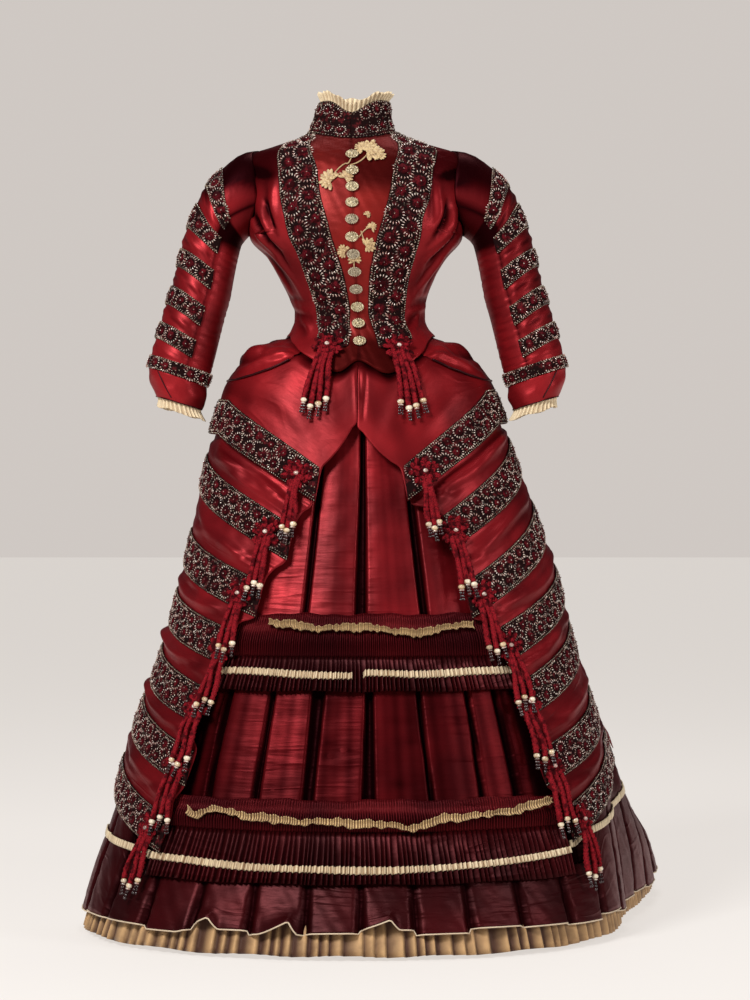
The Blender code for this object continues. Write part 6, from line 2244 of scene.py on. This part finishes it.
@dataclass(frozen=True)
class Flounce:
    """A pleated flounce with a shirred heading, a gathered frill over it and a pale line near its edge.

    Attributes:
        name: of the fall's solid; the heading's has _heading after it.
        reach: half the angle that it covers.
        top: height of the heading's frayed top.
        frill: height of the frill's middle by angle.
        waist: height where the fall starts.
        line: height of the pale line's middle by angle.
        hem: height of its lower edge.
        lows: how far out the pleats' hollows lie, at the waist, halfway and at the hem.
        highs: the same for their ridges.
        pleats: number of knife pleats.
        break_at: from and to, where the pale line is hidden.
    """

    name: str
    reach: float
    top: float
    frill: tuple[tuple[float, float], ...]
    waist: float
    line: tuple[tuple[float, float], ...]
    hem: float
    lows: tuple[float, float, float]
    highs: tuple[float, float, float]
    pleats: int
    break_at: tuple[float, float] = (0.0, 0.0)

    def build(self) -> None:
        """Make the heading, the frill, the fall and the line."""
        columns = self.pleats * 10 + 1
        down, across = grid_of(14, columns)
        angle = mix(-self.reach, self.reach, across)
        phase = uneven(across * self.pleats * 1.9, 0.10, 1.0)
        gather = gathers(phase)
        wander = 0.0015 * np.sin(0.21 * angle) + 0.0010 * np.sin(0.57 * angle + 1)
        height = mix(self.top, self.waist + 0.0003, down) + wander * (1 - down)
        puff = np.interp(down, [0.0, 0.12, 0.34, 0.44, 0.70, 0.95, 1.0],
                         [-0.0105, -0.0088, -0.0085, -0.0060, -0.0052, -0.0100, -0.0108])
        tight = np.interp(down, [0.0, 0.14, 0.30, 0.44, 0.6, 1.0], [0.5, 1.0, 0.35, 0.7, 1.0, 0.5])
        # Painted shade in the gathers' hollows and on the heading's lower part.
        shade = 0.30 + 0.60 * (1 - gather) * tight + 0.25 * ramp(down, 0.36, 0.50)
        heading = Patch(angle, height, puff + 0.0022 * gather * tight, False, shade)
        Workshop.cloth(self.name + "_heading", heading, Finishes.SHIRRED_SATIN, Held.GATHERED,
                       ("underskirt_front",), 0.0009)
        self.ribbon()
        self.fall(columns)

    def fall(self, columns: int) -> None:
        """The knife-pleated fall and the pale line on its pleats.

        Args:
            columns: of both.
        """
        down, across = grid_of(10, columns)
        angle, height, out, shade, _ = self.pleated(down, across)
        Workshop.cloth(self.name, Patch(angle, height, out, False, shade), Finishes.HEM_SATIN,
                       Held.GATHERED, (self.name + "_heading",), 0.0010)
        down, across = grid_of(5, columns)
        middle = pair_curve(self.line)(mix(-self.reach, self.reach, across))
        share = (self.waist - middle) / (self.waist - self.hem)
        reach = 0.0050 / (self.waist - self.hem)
        angle, height, out, shade, ridge = self.pleated(share + (down - 0.5) * 2 * reach, across)
        hidden = np.zeros_like(out)
        if self.break_at[0] != self.break_at[1]:
            start, end = self.break_at
            hidden = ramp(angle, start - 0.5, start) * ramp(end - angle, -0.5, 0)
        out = out + 0.0013 - 0.006 * hidden
        fine = knife(uneven(across * self.pleats * 1.6, 0.2, 5.0))
        out += 0.0011 * fine
        height += 0.0016 * (ridge - 0.5) + 0.0003 * (1 - 2 * down)
        # Painted shade in the line's fine pleats.
        line = Patch(angle, height, out, False, 1.1 * (1 - fine) ** 1.2)
        Workshop.cloth(self.name + "_line", line, Finishes.CREAM, Held.GATHERED, (self.name,), 0.0009)

    def pleated(self, share: Array, across: Array) -> tuple[Array, ...]:
        """Knife pleats at shares of the way down the fall.

        Args:
            share: of the way down.
            across: share of the way across.

        Returns:
            Angle, height, how far out, painted shade, and how near the pleat's ridge.
        """
        phase = uneven(across * self.pleats, 0.16, 2.0 + len(self.name))
        ridge = knife(phase)
        angle = mix(-self.reach, self.reach, across) + 0.25 * np.sin(0.9 * phase) * share
        low = np.interp(share, [0.0, 0.5, 1.0], self.lows)
        high = np.interp(share, [0.0, 0.5, 1.0], self.highs)
        height = mix(self.waist, self.hem, share) + 0.0010 * np.sin(0.31 * phase * share) * share
        out = mix(low, high, ridge) + 0.0008 * np.sin(0.7 * phase + 3 * share) * share
        # Painted shade in the pleats' hollows.
        shade = 0.10 + 1.00 * (1 - ridge) ** 1.1
        return angle, height, out, shade, ridge

    def ribbon(self) -> None:
        """The gathered frill, whose edges wander."""
        number = int(self.reach * 2.6)
        down, across = grid_of(6, number * 6 + 1)
        angle = mix(self.frill[0][0], self.frill[-1][0], across)
        phase = uneven(across * number, 0.12, 3.0)
        wave = gathers(phase)
        stray = 0.5 * np.sin(0.33 * angle + 1.0) * np.sin(0.11 * angle) + 0.22 * np.sin(0.9 * angle)
        wide = 1 + 0.22 * np.sin(0.27 * angle + 2) + 0.30 * np.sin(1.3 * phase) * np.sin(0.23 * phase)
        height = pair_curve(self.frill)(angle) + 0.0042 * stray
        height += 0.0052 * wide * (1 - 2 * down) + 0.0008 * (wave - 0.5)
        out = 0.0030 * wave * (0.5 + np.abs(0.5 - down)) + 0.0035 * (1 - 2 * down) ** 2 - 0.0030
        # Painted shade in the frill's gathers, varying a little along it.
        patch = Patch(angle, height, out, False, 1.1 * (1 - wave) ** 1.1 + 0.12 * np.sin(0.4 * angle) ** 2)
        Workshop.cloth(self.name + "_frill", patch, Finishes.GOLD, Held.GATHERED, (self.name + "_heading",),
                       0.0008)


FLOUNCES = (
    Flounce("flounce_upper", 54.6, 0.5235,
            ((-34.0, 0.5070), (-26.0, 0.5040), (-10.0, 0.4985), (0.0, 0.5000), (12.0, 0.4960), (21.0, 0.4895),
             (26.0, 0.4960), (33.0, 0.5010), (40.0, 0.5060)),
            0.457, ((-55.0, 0.431), (-40.0, 0.4330), (-20.0, 0.4290), (0.0, 0.4270), (2.0, 0.4320),
                    (20.0, 0.4290), (38.0, 0.4330), (55.0, 0.434)),
            0.4030, (-0.0106, -0.0104, -0.0096), (-0.0100, -0.0050, -0.0010), 74, (-2.6, 0.4)),
    Flounce("flounce_lower", 55.6, 0.2400,
            ((-47.0, 0.219), (-44.0, 0.212), (-39.0, 0.219), (-30.0, 0.211), (-15.0, 0.206), (0.0, 0.202),
             (9.0, 0.201), (14.0, 0.197), (22.0, 0.208), (32.0, 0.213), (45.0, 0.223), (52.0, 0.228)),
            0.192, ((-56.0, 0.144), (-45.0, 0.142), (-25.0, 0.137), (0.0, 0.134), (20.0, 0.137),
                    (40.0, 0.144), (56.0, 0.152)),
            0.1130, (-0.0106, -0.0085, -0.0050), (-0.0098, -0.0028, 0.0024), 84),
)


@dataclass(frozen=True)
class Hem:
    """The box-pleated hem flounce with its pale piped edge, and the tan dust ruffle below it."""

    pleats: int = 28
    bottom: float = 0.040
    flips: Rows = ((-37.5, 5.0, 0.016, 0.010), (-19.0, 4.5, 0.018, 0.012), (4.0, 5.0, 0.014, 0.010))
    line: Curve = pair_curve(((-180, 0.215), (-140, 0.200), (-100, 0.165), (-62, 0.150), (-57, 0.146),
                              (57, 0.160), (62, 0.172), (100, 0.200), (140, 0.212), (180, 0.215)))

    @staticmethod
    def top(angle: Array) -> Array:
        """Height of the flounce's upper edge."""
        return mix(0.128, 0.255, ramp(np.abs((angle + 180) % 360 - 180), 60.0, 72.0))

    @staticmethod
    def back_lift(angle: Array) -> Array:
        """The flounce stands out further where the train flares."""
        return 0.0058 * ramp(np.abs(angle), 80.0, 115.0)

    @staticmethod
    def depth(down: Array, raised: Array, swell: Array | float = 0.0) -> Array:
        """How far out the box pleats lie.

        Args:
            down: share of the way down the flounce.
            raised: how near each point is to a pleat's top.
            swell: added to the pleats' tops.

        Returns:
            The distances from the form.
        """
        low = np.interp(down, [0.0, 0.5, 1.0], [-0.0122, -0.0096, -0.0070])
        high = np.interp(down, [0.0, 0.5, 1.0], [-0.0106, -0.0028, 0.0036])
        return mix(low, high + swell, raised)

    @staticmethod
    def raised(part: Array) -> Array:
        """1 on the top of a box pleat and 0 between two, by the share of the way across a pleat."""
        return ramp(part, 0.0, 0.12) * ramp(0.98 - part, 0.0, 0.12)

    def flipped(self, angle: Array) -> tuple[Array, Array]:
        """How far a turned-up pleat corner rises and stands out.

        Args:
            angle: degrees from the centre front.

        Returns:
            The rise and the lift.
        """
        rise, lift = np.zeros_like(angle), np.zeros_like(angle)
        for middle, half, up, out in self.flips:
            share = np.clip((angle - middle + half) / (2 * half), 0, 1)
            tooth = np.where((share > 0) & (share < 1), np.minimum(share / 0.78, (1 - share) / 0.22), 0.0)
            rise += up * tooth ** 1.3
            lift += out * tooth
        return rise, lift

    def build(self) -> None:
        """Make both ruffles, the piping and the pale line at the sides."""
        down, across = ring_of(26, self.pleats * 22)
        angle = -180 + 360 * across
        phase = across * self.pleats
        part = phase % 1.0
        raised = self.raised(part)
        whole = np.floor(phase)
        bottom = self.bottom + 0.004 * np.sin(whole * 2.4) + 0.003 * np.sin(0.5 * phase)
        rise, lift = self.flipped(angle)
        height = mix(self.top(angle), bottom, down)
        height = height + rise * ramp(down, 0.45, 1.0) ** 2
        swell = 0.0022 * np.sin(np.pi * part) * down + 0.0012 * np.sin(whole * 1.7 + 5 * down) * down
        out = self.depth(down, raised, swell) + self.back_lift(angle) + lift * ramp(down, 0.5, 1.0)
        # Painted shade between the box pleats and towards the top.
        shade = 0.10 + 0.85 * (1 - raised) ** 0.7 + 0.35 * (1 - ramp(down, 0.0, 0.35))
        shirred = ramp(np.abs(angle), 60.0, 66.0) * ramp(height - 0.205, 0.0, 0.012)
        gather = np.sin(2 * np.pi * across * 300)
        out = mix(out, -0.0060 + self.back_lift(angle) + 0.0012 * gather, shirred)
        # The shirred part's gathers take painted shade too.
        shade = mix(shade, 0.45 - 0.25 * gather, shirred)
        patch = Patch(angle, height, out, True, shade).rippled(0.0006, 0.05, 2.0, 1.6)
        Workshop.cloth("hem_flounce", patch, Finishes.HEM_SATIN, Held.GATHERED, ("back_skirt",))
        edge = patch.points()[-1]
        pipe = Bundle()
        pipe.put(tube(np.concatenate([edge, edge[:1]]), 0.00115))
        pipe.piece("hem_piping", Finishes.PIPE)
        for side in Side:
            self.side_line(side)
        self.dust()

    def side_line(self, side: Side) -> None:
        """The pale pleated line that runs on round a side and the back.

        Args:
            side: the wearer's.
        """
        pleats = 130
        down, across = grid_of(4, pleats * 6 + 1)
        angle = side.sign * mix(56.0, 179.8, across)
        phase = uneven(across * pleats, 0.12, 4.0)
        ridge = knife(phase)
        middle = self.line(angle)
        raised = self.raised(((angle + 180) / 360 * self.pleats) % 1.0)
        fallen = (self.top(angle) - middle) / (self.top(angle) - self.bottom)
        out = self.depth(fallen, 0.5 + 0.5 * raised) + self.back_lift(angle) + 0.0022 + 0.0020 * ridge
        height = middle + 0.0055 * (1 - 2 * down) + 0.001 * ridge
        # Painted shade in the line's pleats.
        patch = Patch(angle, height, out, False, (1 - ridge) ** 1.4)
        Workshop.cloth(side.of("hem_line"), patch, Finishes.CREAM, Held.GATHERED, ("hem_flounce",), 0.0009)

    def dust(self) -> None:
        """The tan ruffle, irregularly pleated, that shows below the hem."""
        folds = 118
        down, across = ring_of(10, folds * 8)
        angle = -180 + 360 * across
        phase = uneven(across * folds, 0.22, 5.0)
        ridge = knife(phase)
        height = mix(0.085, 0.0085 + 0.0012 * np.sin(phase * 0.9), down)
        high = mix(-0.0104, -0.0014, ramp(down, 0.1, 1.0))
        out = mix(-0.0112, high, ridge) + 0.0012 * np.sin(0.37 * phase) * down
        # Painted shade in the pleats' hollows, deeper in some than in others, and towards the top under the
        # hem flounce.
        deep = 0.55 + 0.45 * np.sin(0.53 * phase + 2 * np.sin(0.19 * phase))
        shade = (0.9 + 0.9 * deep) * (1 - ridge) ** 0.8 + 0.6 * (1 - ramp(down, 0.25, 0.62)) - 0.15
        Workshop.cloth("dust_ruffle", Patch(angle, height, out, True, shade), Finishes.TAN, Held.GATHERED,
                       ("hem_flounce",), 0.0010)


@dataclass(frozen=True)
class Studio:
    """Camera, soft light and a pale floor."""

    camera: tuple[float, float, float] = (0.0215, -4.7, -0.58)
    lens: tuple[float, float, float] = (102.5, 36.0, 200.0)
    aim: tuple[float, float, float] = (0.0, 0.0, -0.55)
    lamps: tuple[tuple, ...] = (("key", (-1.9, -3.2, 2.1), 200.0, 1.2), ("fill", (3.4, -2.4, 0.9), 60.0, 1.3),
                                ("top", (0.3, 0.9, 3.0), 50.0, 1.6))

    def build(self) -> None:
        """Set the stage."""
        scene = bpy.context.scene
        scene.view_settings.view_transform = "Standard"
        bpy.ops.mesh.primitive_plane_add(size=60, location=(0, 0, -HOLD_HEIGHT))
        floor = bpy.context.object
        floor.name = "studio_floor"
        book = NodeBook("studio floor")
        book.shade(Base_Color=(0.25, 0.243, 0.236), Roughness=0.9, Specular_IOR_Level=0.1,
                   Emission_Color=(0.62, 0.58, 0.545), Emission_Strength=1.08)
        floor.data.materials.append(book.material)
        lens = bpy.data.cameras.new("camera")
        lens.lens, lens.sensor_width, lens.clip_end = self.lens
        camera = bpy.data.objects.new("camera", lens)
        camera.location = self.camera
        camera.rotation_euler = (math.radians(90), 0.0, 0.0)
        scene.collection.objects.link(camera)
        scene.camera = camera
        lamps = [self.lamp(*lamp) for lamp in self.lamps]
        self.sky(scene)

    def lamp(self, name: str, place: tuple[float, float, float], power: float,
             size: float) -> bpy.types.Object:
        """A square soft lamp that looks at the dress.

        Args:
            name: the lamp's.
            place: where it stands.
            power: in watts.
            size: of its side.

        Returns:
            The lamp.
        """
        light = bpy.data.lights.new(name, "AREA")
        light.energy = power
        light.size = size
        made = bpy.data.objects.new(name, light)
        made.location = place
        aim = np.array(self.aim) - np.array(place)
        flat = math.hypot(aim[0], aim[1])
        made.rotation_euler = (math.atan2(flat, -aim[2]), 0.0, math.atan2(-aim[0], aim[1]))
        bpy.context.scene.collection.objects.link(made)
        return made

    @staticmethod
    def sky(scene: bpy.types.Scene) -> None:
        """A pale grey world, dimmer as light than as backdrop.

        Args:
            scene: takes the world.
        """
        world = bpy.data.worlds.new("studio")
        scene.world = world
        world.use_nodes = True
        nodes, links = world.node_tree.nodes, world.node_tree.links
        seen = nodes["Background"]
        seen.inputs["Color"].default_value = (0.625, 0.580, 0.548, 1.0)
        seen.inputs["Strength"].default_value = 1.0
        light = nodes.new("ShaderNodeBackground")
        light.inputs["Color"].default_value = (0.80, 0.82, 0.86, 1.0)
        light.inputs["Strength"].default_value = 0.12
        path, blend = nodes.new("ShaderNodeLightPath"), nodes.new("ShaderNodeMixShader")
        links.new(path.outputs["Is Camera Ray"], blend.inputs[0])
        links.new(light.outputs[0], blend.inputs[1])
        links.new(seen.outputs[0], blend.inputs[2])
        links.new(blend.outputs[0], nodes["World Output"].inputs["Surface"])


def main() -> None:
    """Build the dress piece by piece."""
    logging.basicConfig(level=logging.INFO, format="%(message)s")
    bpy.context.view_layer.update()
    Studio().build()
    scatter = ScatterTree()
    trim = BeadedTrim(scatter)
    tassel = Tassel(scatter)
    BODICE.build(trim)
    Collar().build(trim)
    Underskirt().build()
    for flounce in FLOUNCES:
        flounce.build()
    Hem().build()
    Back().build()
    for side in Side:
        Sleeve(side).build(trim)
        Overskirt(side, scatter, trim).build()
    for side, angle, height in ((Side.RIGHT, -28.7, 0.946), (Side.LEFT, 30.7, 0.943)):
        name = side.of("waist_tassel")
        tassel.hang(name, angle, height, 0.0045, (0.098, 0.108, 0.104, 0.096), 3.3, 0.0265, name)


if __name__ == "__main__":
    main()
